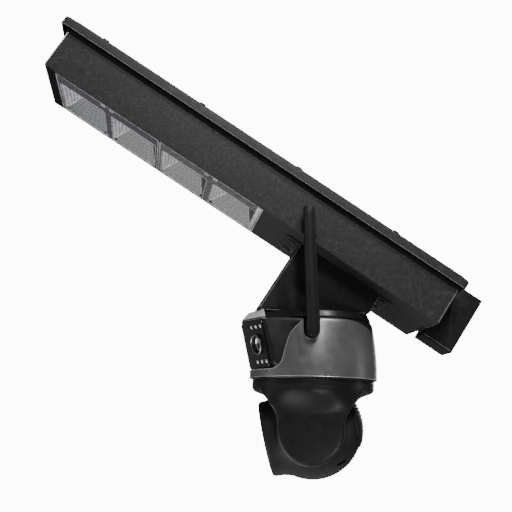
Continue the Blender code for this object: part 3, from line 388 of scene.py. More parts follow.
def loft(loops, start=True, end=True, ring=True):
    """Joins loops of the same number of points with faces, and fills the first and last."""
    bm = bmesh.new()
    rows = [[bm.verts.new(p) for p in loop] for loop in loops]
    count = len(rows[0])
    for low, high in zip(rows, rows[1:]):
        for i in range(count if ring else count - 1):
            j = (i + 1) % count
            bm.faces.new((low[i], low[j], high[j], high[i]))
    if start:
        bm.faces.new(rows[0][::-1])
    if end:
        bm.faces.new(rows[-1])
    bmesh.ops.remove_doubles(bm, verts=bm.verts, dist=1e-6)
    bmesh.ops.dissolve_degenerate(bm, edges=bm.edges, dist=1e-7)
    return bm


def bend(before, here, after, reach, segments):
    """Points round a corner, from reach before it to reach after it."""
    start = here + (before - here).normalized() * reach
    end = here + (after - here).normalized() * reach
    shares = [k / segments for k in range(segments + 1)]
    return [(1 - t) ** 2 * start + 2 * t * (1 - t) * here + t * t * end for t in shares]


def round_corners(points, radii, segments=5):
    """A closed plane outline with each corner rounded by its own radius."""
    out = []
    points = [Vector(p) for p in points]
    corners = zip(points[-1:] + points, points, points[1:] + points, radii)
    for before, here, after, radius in corners:
        sides = before - here, after - here
        angle = sides[0].angle(sides[1])
        if radius <= 0 or angle > math.radians(178):
            out.append(here)
            continue
        reach = min(radius / math.tan(angle / 2), *(0.48 * side.length for side in sides))
        out += bend(before, here, after, reach, segments)
    return out


def rectangle(low, high, radius, segments=5, inset=0.0):
    x0, y0, x1, y1 = low[0] + inset, low[1] + inset, high[0] - inset, high[1] - inset
    radius = max(radius - inset, 0.1 * mm)
    return round_corners([(x0, y0), (x1, y0), (x1, y1), (x0, y1)], [radius] * 4, segments)


def at_height(outline, z):
    return [Vector((p[0], p[1], z)) for p in outline]


def fillet(radius, steps=4):
    """(inset, rise) pairs from a flat face's edge round to the side wall."""
    turns = [math.pi / 2 * k / steps for k in range(steps + 1)] if radius else [math.pi / 2]
    return [(radius * (1 - math.sin(a)), radius * (1 - math.cos(a))) for a in turns]


def slab(low, high, corner, edge_low=0.0, edge_high=0.0, segments=5):
    """A plate with rounded corners in plan and rounded lower and upper edges."""
    levels = [(low[2] + rise, inset) for inset, rise in fillet(edge_low, 3)]
    levels += [(high[2] - rise, inset) for inset, rise in reversed(fillet(edge_high, 3))]
    return loft([at_height(rectangle(low, high, corner, segments, inset), z)
                 for z, inset in levels])


def tray(low, high, corner, edge, wall, opens_up=True, rim=0.35 * mm):
    """A thin-walled box open above (or below) with rounded folds and a rounded rim."""
    span = high[2] - low[2]
    levels = fillet(edge, 4) + [(0, span - rim), (rim, span), (wall - rim, span), (wall, span - rim)]
    levels += [(wall + inset, wall + rise) for inset, rise in
               reversed(fillet(max(edge - wall, 0.3 * mm), 3))]
    return loft([at_height(rectangle(low, high, corner, 6, inset),
                           low[2] + rise if opens_up else high[2] - rise) for inset, rise in levels])


def circle(middle, side, up, radius, steps=96):
    """Points evenly round a circle that lies along two unit vectors."""
    turns = [2 * math.pi * k / steps for k in range(steps)]
    return [middle + radius * (math.cos(a) * side + math.sin(a) * up) for a in turns]


def level_circle(radius, z):
    return circle(Vector((0, 0, z)), X_AXIS, Y_AXIS, radius)


def revolve(profile, steps=64, closed=False):
    """(radius, height) points turned round Z; ends on the axis close by themselves."""
    turns = [2 * math.pi * k / steps for k in range(steps)] + [0]
    loops = [[Vector((r * math.cos(a), r * math.sin(a), z)) for r, z in profile] for a in turns]
    return loft(loops, False, False, ring=closed)


def smooth_profile(points, radius, segments=4):
    """An open line with its inner corners rounded."""
    points = [Vector(p) for p in points]
    out = points[:1]
    for before, here, after in zip(points, points[1:], points[2:]):
        reach = min(radius, 0.45 * (before - here).length, 0.45 * (after - here).length)
        out += bend(before, here, after, reach, segments)
    return out + points[-1:]


def tube(path, radius, sides=8, closed=False):
    """A round bead along a path."""
    loops = []
    count = len(path)
    side = None
    for i, point in enumerate(path):
        ahead = path[(i + 1) % count] if closed or i < count - 1 else point
        behind = path[i - 1] if closed or i else point
        along = (ahead - behind).normalized()
        if side is None:
            side = along.orthogonal().normalized()
        side = (side - along * side.dot(along)).normalized()
        loops.append(circle(point, side, along.cross(side), radius, sides))
    if closed:
        return loft(loops + [loops[0]], False, False)
    return loft(loops)


def prism(outline, low, high):
    """An X-Z outline made solid along Y."""
    return loft([[Vector((x, y, z)) for x, z in outline] for y in (low, high)])


def bevel(bm, edges, width, segments=2, clamp=True):
    bmesh.ops.bevel(bm, geom=edges, offset=width, segments=segments, affect="EDGES", profile=0.5,
                    clamp_overlap=clamp)


def block(low, high, edge=0.0):
    low, high = Vector(low), Vector(high)
    bm = bmesh.new()
    place = Matrix.Translation((low + high) / 2) @ Matrix.Diagonal((*(high - low), 1))
    bmesh.ops.create_cube(bm, size=1, matrix=place)
    if edge:
        bevel(bm, bm.edges[:], edge, clamp=False)
    return bm


def rod(radius, start, end, segments=24, edge=0.0):
    """A cylinder between two points, with its ends bevelled if asked."""
    start, end = Vector(start), Vector(end)
    length = (end - start).length
    profile = [(0, 0), (radius, 0), (radius, length), (0, length)]
    if edge:
        profile[1:3] = [(radius - edge, 0), (radius, edge), (radius, length - edge),
                        (radius - edge, length)]
    bm = revolve(profile, segments)
    turn = Z_AXIS.rotation_difference(end - start).to_matrix().to_4x4()
    bmesh.ops.transform(bm, matrix=Matrix.Translation(start) @ turn, verts=bm.verts)
    return bm


def temporary(bm):
    bmesh.ops.recalc_face_normals(bm, faces=bm.faces)
    mesh = bpy.data.meshes.new("temporary")
    bm.to_mesh(mesh)
    bm.free()
    obj = bpy.data.objects.new("temporary", mesh)
    bpy.context.scene.collection.objects.link(obj)
    return obj


def applied(obj, others=()):
    """The object's mesh with its modifiers applied; it and the others are removed."""
    bpy.context.view_layer.update()
    mesh = bpy.data.meshes.new_from_object(obj.evaluated_get(bpy.context.evaluated_depsgraph_get()))
    out = bmesh.new()
    out.from_mesh(mesh)
    spent = [mesh, *[used.data for used in (obj, *others)]]
    for used in (obj, *others):
        bpy.data.objects.remove(used, do_unlink=True)
    for data in spent:
        bpy.data.meshes.remove(data)
    return out


def carve(bm, cutters, operation="DIFFERENCE"):
    """The mesh with each cutter taken out of it, or with only what is in them kept."""
    base = temporary(bm)
    others = [temporary(cutter) for cutter in cutters]
    for other in others:
        mod = base.modifiers.new("cut", "BOOLEAN")
        mod.operation = operation
        mod.object = other
        mod.solver = "EXACT"
    out = applied(base, others)
    bmesh.ops.remove_doubles(out, verts=out.verts, dist=2e-6)
    bmesh.ops.dissolve_degenerate(out, edges=out.edges, dist=1e-6)
    return out


def soften(bm, width):
    """Bevels the edges that turn sharply."""
    sharp = [e for e in bm.edges if len(e.link_faces) == 2
             and abs(e.calc_face_angle(0)) > math.radians(38)]
    bevel(bm, sharp, width)
    return bm


def screw_head(radius, height, recess):
    """A pan head with a socket, sitting on Z = 0."""
    return revolve(smooth_profile([(0, height * 0.55), (recess, height * 0.55), (recess, height),
                                   (radius, height * 0.72), (radius, 0), (0, 0)], 0.5 * mm, 3), 28)


def screw_holes(kind, axis, start, end):
    """Clearance holes along one of the lamp's axes for the four screws of a kind."""
    holes = []
    for number in (1, 2, 3, 4):
        ends = [middle_of(f"{kind}_screw_{number}", LAMP) for _ in range(2)]
        ends[0][axis], ends[1][axis] = start, end
        holes.append(rod(2.3 * mm, *ends, 16))
    return holes


# ---------------- lamp body
tray_low, tray_high = extent("lamp_housing", LAMP)
lid_low, lid_high = extent("lamp_lid", LAMP)
optic_low = extent("led_optic_1", LAMP)[0]
optic_high = extent("led_optic_2", LAMP)[1]
optic_high.z = optic_low.z + 3 * mm
underside = tray_low.z


def lamp_body():
    shell = tray(tray_low, tray_high, 1.6 * mm, 1.3 * mm, 1.5 * mm)
    window = block(optic_low - Vector((GAP, GAP, 4 * mm)), optic_high + Vector((GAP, GAP, 2 * mm)))
    gland_x = middle_of("cable_gland", LAMP).x
    gland_hole = rod(7.3 * mm, (gland_x, 0, underside - 3 * mm), (gland_x, 0, underside + 4 * mm))
    cutters = [window, gland_hole,
               *screw_holes("adapter", 2, underside - 3 * mm, underside + 4 * mm),
               *screw_holes("bracket", 0, tray_high.x - 4 * mm, tray_high.x + 3 * mm)]
    shape = Shape().add(carve(shell, cutters), PAINT)
    inset = 0.5 * mm
    # Painted highlights on the upright end edges: near-white at the free end, lighter paint at the bracket end.
    for x, mat in ((tray_low.x + inset, PAINT_EDGE_GLINT), (tray_high.x - inset, PAINT_EDGE_HIGHLIGHT)):
        for y in (tray_low.y + inset, tray_high.y - inset):
            shape.bead((x, y, tray_low.z + 1.5 * mm), (x, y, lid_low.z), 0.6 * mm, mat, 8)
    # Painted highlights along both bottom end edges.
    y0, y1, z = tray_low.y + 2 * mm, tray_high.y - 2 * mm, underside + 0.45 * mm
    for x in (tray_low.x + 0.6 * mm, tray_high.x - 0.6 * mm):
        shape.bead((x, y0, z), (x, y1, z), 0.4 * mm, PAINT_EDGE_HIGHLIGHT, 8)
    shape.box((tray_low.x + 1.2 * mm, tray_low.y + 1.5 * mm, underside - 0.12 * mm),
              (optic_low.x - 0.4 * mm, tray_high.y - 1.5 * mm, underside + 0.3 * mm), RUBBER)
    shape.piece("lamp_housing_shell", LAMP, "housing", "painted_sheet", ["lamp_housing"])


def lamp_lid():
    lid = tray(lid_low, lid_high, 5.5 * mm, 2.2 * mm, 1.5 * mm, opens_up=False)
    shape = Shape().add(lid, PAINT)
    # Painted highlight round the lid's lower lip.
    lip = at_height(rectangle(lid_low, lid_high, 5.5 * mm, 6, 0.5 * mm), lid_low.z + 0.25 * mm)
    shape.add(tube(lip, 0.5 * mm, closed=True), PAINT_EDGE_HIGHLIGHT)
    # Painted highlights on the lid's upright corners at the free end.
    x, z0, z1 = lid_low.x + 0.5 * mm, lid_low.z + 0.4 * mm, lid_high.z - 2 * mm
    for y in (5 * mm - lid_high.y, lid_high.y - 5 * mm):
        shape.bead((x, y, z0), (x, y, z1), 0.5 * mm, PAINT_EDGE_GLINT, 8)
    shape.piece("lamp_lid_shell", LAMP, "housing", "painted_sheet", ["lamp_lid"])
    low, high = extent("lid_gasket", LAMP)
    # The band reaches 1.3 mm below the gasket: this lower strip is painted shadow, the dark gap under the lid's
    # lip.
    low.z -= 1.3 * mm
    band = [at_height(rectangle(low, high, 3.5 * mm, 6, inset), z) for inset, z in
            ((0.6 * mm, low.z), (0, low.z + 0.6 * mm), (0, high.z - 0.4 * mm), (0.4 * mm, high.z),
             (2.4 * mm, high.z), (2.6 * mm, high.z - 0.3 * mm), (2.6 * mm, low.z + 0.3 * mm),
             (2.4 * mm, low.z), (0.6 * mm, low.z))]
    single("lid_gasket_and_shadow_band", loft(band, False, False), RUBBER, LAMP, "housing", "gasket_rubber",
           ["lid_gasket"])


def solar_top():
    """A framed glass panel with rows of cells, tabbing wires and edge clips."""
    low, high = extent("solar_panel", LAMP)
    shape = Shape()
    shape.add(slab(low, (high.x, high.y, high.z - 0.5 * mm), 2.5 * mm, 0.2 * mm, 0.4 * mm), RUBBER)
    columns, rows, margin, gap = 8, 2, 5 * mm, 2 * mm
    cell_x = (high.x - low.x - 2 * margin - (columns - 1) * gap) / columns
    cell_y = (high.y - low.y - 2 * margin - (rows - 1) * gap) / rows
    top = high.z - 0.15 * mm
    for i in range(columns):
        for j in range(rows):
            x = low.x + margin + i * (cell_x + gap)
            y = low.y + margin + j * (cell_y + gap)
            outline = rectangle((x, y), (x + cell_x, y + cell_y), 3 * mm, 1)
            shape.add(loft([at_height(outline, high.z - 0.6 * mm), at_height(outline, top)]), SOLAR)
            for share in (0.25, 0.75):
                wire_y = y + cell_y * share
                shape.box((x - gap / 2, wire_y - 0.6 * mm, top - 0.1 * mm),
                          (x + cell_x + gap / 2, wire_y + 0.6 * mm, top + 0.1 * mm), SILVER)
    shape.piece("solar_panel_laminate", LAMP, "housing", "solar_cells", ["solar_panel"])
    clips = Shape()
    for share in (0.09, 0.33, 0.57, 0.81):
        x = lid_low.x + share * (lid_high.x - lid_low.x)
        for side in (-1, 1):
            for inner, outer, z0, z1, edge in (
                    (high.y - 3 * mm, high.y + 1 * mm,
                     high.z - 0.1 * mm, high.z + 0.3 * mm, 0.15 * mm),
                    (high.y + 0.2 * mm, lid_high.y - 1.5 * mm,
                     lid_high.z - 0.2 * mm, lid_high.z + 0.9 * mm, 0.3 * mm)):
                y0, y1 = sorted((side * inner, side * outer))
                clips.box((x, y0, z0), (x + 6 * mm, y1, z1), BLACK, edge)
    clips.piece("panel_edge_clips", LAMP, "housing", "black_plastic")


# ---------------- LED optics
def wall_dimples(shape, corners, columns, rows, size, mat, height):
    """Rows of low raised dashes over a four-cornered wall, in from its edges."""
    a, b, c, d = corners                          # a-b along the mouth, d-c along the crown
    normal = (b - a).cross(d - a).normalized()
    outline = ((-1, -0.5), (-0.5, -1), (0.5, -1), (1, -0.5),
               (1, 0.5), (0.5, 1), (-0.5, 1), (-1, 0.5))
    for i in range(columns):
        for j in range(rows):
            u = (i + 0.7) / (columns + 0.4)
            v = (j + 0.7) / (rows + 0.4)
            spot = (a.lerp(b, u)).lerp(d.lerp(c, u), v)
            near = (a.lerp(b, u + 0.01)).lerp(d.lerp(c, u + 0.01), v)
            along = (near - spot).normalized()
            up = normal.cross(along)
            shrink = 1 - 0.45 * v
            long, wide = size[0] * shrink, size[1] * shrink
            loops = [[spot + along * long * scale * x + up * wide * scale * y + normal * rise * mm
                      for x, y in outline]
                     for scale, rise in ((1.0, -0.05), (0.8, 0.28 * height), (0.35, 0.42 * height))]
            shape.add(loft(loops, False, True), mat)


def optic_module(number, first_dark):
    """A clear plate with two reflector cups over a pair of LEDs."""
    low, high = extent(f"led_optic_{number}", LAMP)
    plate_top = low.z + 2.2 * mm
    cups = sorted((middle_of(f"led_chip_{k}", LAMP) for k in (2 * number - 1, 2 * number)),
                  key=lambda spot: spot.x)
    mouth, crown = Vector((53 * mm, 80 * mm)), Vector((15 * mm, 20 * mm))
    mouth_z, crown_z = low.z + 0.3 * mm, high.z - 0.05 * mm

    def mouth_outline(spot, segments):
        return rectangle((spot.x - mouth.x / 2, spot.y - mouth.y / 2),
                         (spot.x + mouth.x / 2, spot.y + mouth.y / 2), 5 * mm, segments)

    openings = [loft([at_height(mouth_outline(spot, 5), z)
                      for z in (low.z - 2 * mm, plate_top + 2 * mm)]) for spot in cups]
    plate = slab(low, (high.x, high.y, plate_top), 2 * mm, 0.5 * mm, 0.2 * mm)
    shape = Shape().add(carve(plate, openings), OPTIC_PLATE if first_dark else OPTIC_GREY)
    for index, spot in enumerate(cups):
        # Painted light: the -X wall of each cup is lit; the other three are painted shade, bluish in the first cup
        # of the first module.
        shaded = OPTIC_BLUE_SHADED_WALL if first_dark and index == 0 else OPTIC_SHADED_WALL
        levels = [[Vector((spot.x + sx * size.x / 2, spot.y + sy * size.y / 2, z))
                   for sx, sy in ((-1, -1), (1, -1), (1, 1), (-1, 1))]
                  for size, z in ((mouth, mouth_z), (crown, crown_z))]
        (m0, m1, m2, m3), (c0, c1, c2, c3) = levels
        across, along = (9, 8, (2.5 * mm, 0.85 * mm)), (8, 9, (2.0 * mm, 0.8 * mm))
        for corners, mat, pattern in (((m3, m0, c0, c3), OPTIC_LIT_WALL, across),
                                      ((m1, m2, c2, c1), shaded, across),
                                      ((m0, m1, c1, c0), shaded, along),
                                      ((m2, m3, c3, c2), shaded, along)):
            middle = sum(corners, Vector()) / 4
            inward = Vector((spot.x, spot.y, middle.z)) - middle
            thick = (corners[1] - corners[0]).cross(corners[3] - corners[0]).normalized()
            if thick.dot(inward) < 0:
                corners = (corners[1], corners[0], corners[3], corners[2])
                thick = -thick
            shape.add(loft([[p - thick * 0.9 * mm for p in corners], corners]), mat)
            # Painted glints: near-white dashes on the lit wall.
            if mat is OPTIC_LIT_WALL:
                wall_dimples(shape, corners, *pattern, OPTIC_GLINT_DASH, 1.0)
            else:
                wall_dimples(shape, corners, *pattern, mat, 0.2)
        for ends in zip(*levels):
            shape.bead(*ends, 0.45 * mm, OPTIC_RIM)
        rim = at_height(mouth_outline(spot, 6), low.z + 0.35 * mm)
        shape.add(tube(rim, 0.55 * mm, closed=True), OPTIC_RIM)
    between = (cups[0].x + cups[1].x) / 2
    for y in (low.y + 5 * mm, high.y - 5 * mm):
        for x in (between - 5 * mm, between + 5 * mm):
            shape.turned(OPTIC_RIM, 18, [(0, 0.5), (0.9, 0.3), (1.0, 0), (1.7, 0), (2.0, -0.7),
                                         (2.5, -0.8), (2.9, 0.2)],
                         Matrix.Translation((x, y, low.z + 0.1 * mm)), closed=False)
    z0, z1 = low.z - 0.25 * mm, low.z + 0.5 * mm
    for x in (low.x + 0.9 * mm, high.x - 0.9 * mm):
        shape.box((x - 0.6 * mm, low.y + 2 * mm, z0), (x + 0.6 * mm, high.y - 2 * mm, z1),
                  OPTIC_RIM, 0.2 * mm)
    for y, size in ((low.y + 0.8 * mm, 0.5 * mm), (high.y - 0.8 * mm, 0.7 * mm)):
        shape.box((low.x + 1 * mm, y - size, z0), (high.x - 1 * mm, y + size, z1),
                  OPTIC_RIM, 0.2 * mm)
    if number == 2:
        shape.box((high.x - 6.5 * mm, low.y + 2 * mm, low.z - 0.3 * mm),
                  (high.x - 2.2 * mm, high.y - 2 * mm, z1), OPTIC_FROST, 0.25 * mm)
    shape.piece(f"led_optic_module_{number}", LAMP, "housing", "clear_optic",
                [f"led_optic_{number}"])


# ---------------- bracket and wedge
def bracket():
    """Welded box bracket with rounded folds, a thick face and two bolt holes."""
    low, high = extent("end_bracket", LAMP)
    back = tray_high.x + GAP
    past_lid = lid_high.x + GAP
    under_lid = extent("lid_gasket", LAMP)[0].z - GAP
    outline = [(back, low.z), (0, low.z), (0, high.z), (past_lid, high.z), (past_lid, under_lid),
               (back, under_lid)]
    body = prism(round_corners(outline, [1.5 * mm] * 2 + [1 * mm] * 4, 3), low.y, high.y)
    wall = 2 * mm
    cutters = [block((back + wall, low.y + wall, low.z + wall),
                     (-3 * mm, high.y - wall, high.z + 8 * mm))]
    cutters += [rod(3.3 * mm, (-8 * mm, 0, z), (4 * mm, 0, z), 28) for z in (-21 * mm, 21 * mm)]
    cutters += screw_holes("bracket", 0, back - 2 * mm, back + 5 * mm)
    # The bracket takes the darker coat: painted shade.
    shape = Shape().add(soften(carve(body, cutters), 0.45 * mm), PAINT_SHADED)
    # Painted highlights along the bracket's lower edges.
    z = low.z + 2.4 * mm
    for y in (low.y + 0.2 * mm, high.y - 0.2 * mm):
        shape.bead((back + 1 * mm, y, z), (-2 * mm, y, z), 0.45 * mm, PAINT_EDGE_HIGHLIGHT)
    shape.piece("end_bracket_shell", LAMP, "housing", "painted_sheet", ["end_bracket"])


def wedge():
    """Folded wedge with rounded bends, an open top under the lamp and two screwed flaps."""
    cam_to_lamp = LAMP.inverted() @ CAM
    lamp_to_cam = CAM.inverted() @ LAMP
    half = extent("wedge_adapter", CAM)[1].y
    flap_low, flap_high = extent("wedge_adapter", LAMP)
    seat_x = [p.x for p in points_of("wedge_adapter", CAM) if p.z < 4 * mm]
    left, right = min(seat_x), max(seat_x)
    normal = lamp_to_cam.to_3x3() @ Z_AXIS
    ceiling = underside - GAP

    def up(x):
        rise = ceiling - (cam_to_lamp @ Vector((x, 0, 0))).z
        return (x + rise * normal.x, rise * normal.z)

    outline = [(left, 0), (right, 0), up(right), up(left)]
    bm = bmesh.new()
    rows = [[bm.verts.new((x, y, z)) for x, z in outline] for y in (-half, half)]
    for i in (0, 1, 3):
        j = (i + 1) % 4
        bm.faces.new((rows[0][i], rows[0][j], rows[1][j], rows[1][i]))
    bm.faces.new(rows[0][::-1])
    bm.faces.new(rows[1])
    bmesh.ops.recalc_face_normals(bm, faces=bm.faces)
    bevel(bm, [e for e in bm.edges if not e.is_boundary], 1.8 * mm, 4, clamp=False)
    sheet = temporary(bm)
    solid = sheet.modifiers.new("sheet", "SOLIDIFY")
    solid.thickness = 1.6 * mm
    solid.offset = -1
    solid.use_even_offset = True
    shell = carve(applied(sheet), [rod(14 * mm, (0, 0, -5 * mm), (0, 0, 5 * mm), 40)])
    # The wedge takes the darker coat: painted shade.
    shape = Shape().add(shell, PAINT_SHADED)
    top_left, top_right = [(cam_to_lamp @ Vector((x, 0, z))).x for x, z in (outline[3], outline[2])]
    holes = [middle_of(f"adapter_screw_{number}", LAMP) for number in (1, 2, 3, 4)]
    for start, end in ((flap_low.x, top_left + 1.5 * mm), (top_right - 1.5 * mm, flap_high.x)):
        cutters = [rod(2.3 * mm, (spot.x, spot.y, ceiling - 4 * mm),
                       (spot.x, spot.y, ceiling + 2 * mm), 16)
                   for spot in holes if start < spot.x < end]
        flap = slab((start, -half, ceiling - 1.6 * mm), (end, half, ceiling),
                    2.5 * mm, 0.4 * mm, 0.1 * mm)
        shape.add(carve(flap, cutters), PAINT, lamp_to_cam)
    # Painted highlights along the wedge's sloping folds and its lower edges.
    for foot, tip, inset in ((left, outline[3], 0.9 * mm), (right, outline[2], -0.9 * mm)):
        direction = Vector((tip[0] - foot, 0, tip[1])).normalized()
        for y in (0.35 * mm - half, half - 0.35 * mm):
            shape.bead(Vector((foot + inset, y, 0)) + direction * 3 * mm,
                       Vector((tip[0] + inset, y, tip[1])) - direction * 1 * mm,
                       0.42 * mm, PAINT_EDGE_HIGHLIGHT)
    for y in (0.45 * mm - half, half - 0.45 * mm):
        shape.bead((left + 3 * mm, y, 0.6 * mm), (right - 3 * mm, y, 0.6 * mm),
                   0.40 * mm, PAINT_EDGE_HIGHLIGHT)
    shape.piece("wedge_folded_sheet", CAM, "housing", "painted_sheet", ["wedge_adapter"])


def screws():
    """Pan heads with hexagon sockets on the wedge's flaps and inside the bracket."""
    head, pitch = 2.4 * mm, 0.35 * mm
    for number in (1, 2, 3, 4):
        for kind, turn, rise, mat in (
                ("adapter_screw", Matrix.Rotation(math.pi, 4, "X"), 1.3 * mm, BLACK_SCREW),
                ("bracket_screw", Matrix.Rotation(math.pi / 2, 4, "Y"), 2.4 * mm, STEEL)):
            name = f"{kind}_{number}"
            low, high = extent(name, LAMP)
            spot = (low + high) / 2
            if kind == "adapter_screw":
                seat, tip = Vector((spot.x, spot.y, low.z + head)), Vector((spot.x, spot.y, high.z))
            else:
                seat, tip = Vector((high.x - head, spot.y, spot.z)), Vector((low.x, spot.y, spot.z))
            shape = Shape()
            shape.add(screw_head(3.9 * mm, rise, 1.6 * mm), mat, Matrix.Translation(seat) @ turn)
            along = (seat - tip).normalized()
            side = along.orthogonal().normalized()
            threads = [circle(tip + along * k * pitch, side, along.cross(side),
                              (1.95 if k % 2 else 1.65) * mm, 14)
                       for k in range(int((seat - tip).length / pitch) + 1)]
            shape.add(loft(threads), mat)
            shape.piece(f"{name}_threaded", LAMP, "housing", "steel", [name])


# ---------------- camera housing
def surface_radius(z):
    """Radius of the housing's outer shell at a height in the camera frame."""
    for (r0, z0), (r1, z1) in zip(SHELL, SHELL[1:]):
        if z0 >= z >= z1:
            return r0 + (r1 - r0) * (z0 - z) / (z0 - z1)
    return SHELL[0][0] if z > SHELL[0][1] else SHELL[-1][0]


def measured_shell():
    """The outer shell's profile, read from the CAD node's vertices at well-spaced heights."""
    inner_wall, spacing = 57 * mm, 9 * mm
    profile = {}
    for p in points_of("front_shell", CAM):
        key = round(p.z / mm)
        profile[key] = max(profile.get(key, 0), math.hypot(p.x, p.y))
    heights = sorted(profile, reverse=True)
    kept = [(profile[h], h * mm) for h in heights if profile[h] > inner_wall]
    out = [kept[0]]
    for radius, z in kept[1:]:
        if out[-1][1] - z > spacing or z == kept[-1][1]:
            out.append((radius, z))
    return out


SHELL = measured_shell()


def catmull(points, steps=8):
    """A smooth line through points."""
    out = []
    padded = [points[0], *points, points[-1]]
    for p0, p1, p2, p3 in zip(padded, padded[1:], padded[2:], padded[3:]):
        p0, p1, p2, p3 = (Vector(p) for p in (p0, p1, p2, p3))
        for k in range(steps):
            t = k / steps
            out.append(0.5 * (2 * p1 + (p2 - p0) * t + (2 * p0 - 5 * p1 + 4 * p2 - p3) * t * t
                              + (3 * p1 - p0 - 3 * p2 + p3) * t ** 3))
    return out + [Vector(points[-1])]


block_low, block_high = extent("lens_block", CAM)
OPENING_LOW = block_low.z - 0.6 * mm
S_CURVE = catmull([*mms((-20, -8), (-21, -12), (-27, -18.5), (-32, -26), (-35, -36), (-37.5, -46),
                        (-40, -52.5)), (-46 * mm, OPENING_LOW + 0.6 * mm), (-53 * mm, OPENING_LOW)])


def shell_wall(inset=0.0):
    """The turned outer wall with a rounded shoulder and a short top flange."""
    wall, flange, top = 2.2 * mm, 44 * mm, SHELL[0][1]
    outside = smooth_profile([(flange, top), (SHELL[0][0], top), *SHELL[1:]], 4 * mm, 5)
    inside = smooth_profile([(flange, top - wall), (SHELL[0][0] - wall, top - wall),
                             *[(r - wall, z) for r, z in SHELL[1:]]], 3 * mm, 5)
    return revolve([(p.x - inset, p.y) for p in outside + inside[::-1]], 144, closed=True)


def rear_outline(clearance):
    """The rear cover's lower edge, seen along X as (y, z): a deep bow that rises to both sides."""
    side = catmull(mms((-80, -3), (-60, -6), (-49, -10), (-37, -15), (-25, -22), (-15, -31),
                       (-7, -40), (0, -43)), 4)
    line = side + [Vector((-p.x, p.y)) for p in reversed(side[:-1])]
    return [(p.x, p.y + clearance) for p in line] + mms((80, 20), (-80, 20))


def rear_cutter(clearance):
    outline = rear_outline(clearance)
    return loft([[Vector((x, y, z)) for y, z in outline] for x in (clearance, 90 * mm)])


def front_cutter():
    outline = [*S_CURVE, (-95 * mm, OPENING_LOW), *mms((-95, 8), (-20, 8))]
    return prism(outline, -90 * mm, 90 * mm)


def on_shell(x, z, side, proud=0.0):
    radius = surface_radius(z) + proud
    x = max(-radius, min(radius, x))
    return Vector((x, side * math.sqrt(max(0, radius * radius - x * x)), z))


def camera_shells():
    spot = CAM.inverted() @ aerial_at
    room = 7.4 * mm
    notch = rod(room, (spot.x, -90 * mm, spot.z), (spot.x, -40 * mm, spot.z), 40)
    slot = block((spot.x - room, -90 * mm, spot.z), (spot.x + room, -40 * mm, 5 * mm))
    front = carve(shell_wall(), [front_cutter(), rear_cutter(0.0), notch, slot])
    shape = Shape().add(front, GREY)
    # Painted highlights: a lighter bead along the front opening's edge and round the shell's lower rim.
    radius = surface_radius(OPENING_LOW)
    end_angle = math.acos(max(-1, S_CURVE[-1].x / radius))
    turns = [end_angle + (2 * math.pi - 2 * end_angle) * k / 40 for k in range(1, 40)]
    lip = [Vector((radius * math.cos(a), -radius * math.sin(a), OPENING_LOW)) for a in turns]
    near, far = ([on_shell(p.x, p.y, side) for p in S_CURVE[6:]] for side in (-1, 1))
    shape.add(tube(near + lip + far[::-1], 0.5 * mm), EDGE_HIGHLIGHT)
    rim_r, rim_z = SHELL[-1]
    shape.add(tube(level_circle(rim_r - 0.2 * mm, rim_z + 0.5 * mm), 0.5 * mm, closed=True), EDGE_HIGHLIGHT)
    turns = [math.pi + math.pi * k / 16 for k in range(17)]
    u_path = [(spot.x + room * math.cos(a), spot.z + room * math.sin(a)) for a in turns]
    u_path = [(u_path[0][0], z) for z in (-12 * mm, -17 * mm)] + u_path \
        + [(u_path[-1][0], z) for z in (-17 * mm, -12 * mm)]
    shape.add(tube([on_shell(x, z, -1) for x, z in u_path], 0.45 * mm), GREY)
    shape.piece("front_shell_moulding", CAM, "housing", "grey_shell", ["front_shell"], 40)

    rear = carve(shell_wall(0.15 * mm), [rear_cutter(GAP)], "INTERSECT")
    single("rear_cover_moulding", rear, BLACK, CAM, "housing", "black_plastic", ["rear_cover"], 40)

    cap_low, cap_high = extent("seat_cap", CAM)
    disc = smooth_profile([(0, cap_high.z), (cap_high.x + 3.5 * mm, cap_high.z),
                           (SHELL[0][0] - 1.2 * mm, cap_low.z), (0, cap_low.z)], 1.4 * mm, 4)
    single("seat_cap_disc", revolve(disc, 96), BLACK, CAM, "housing", "black_plastic", ["seat_cap"])


def key_points(group):
    """The nose, the corner beside it and the widest point at the back of the lens block."""
    nose = min(group, key=lambda p: p.x)
    corner = max((p for p in group if p.x < nose.x + 30 * mm), key=lambda p: p.y)
    return nose, corner, max(group, key=lambda p: p.y)


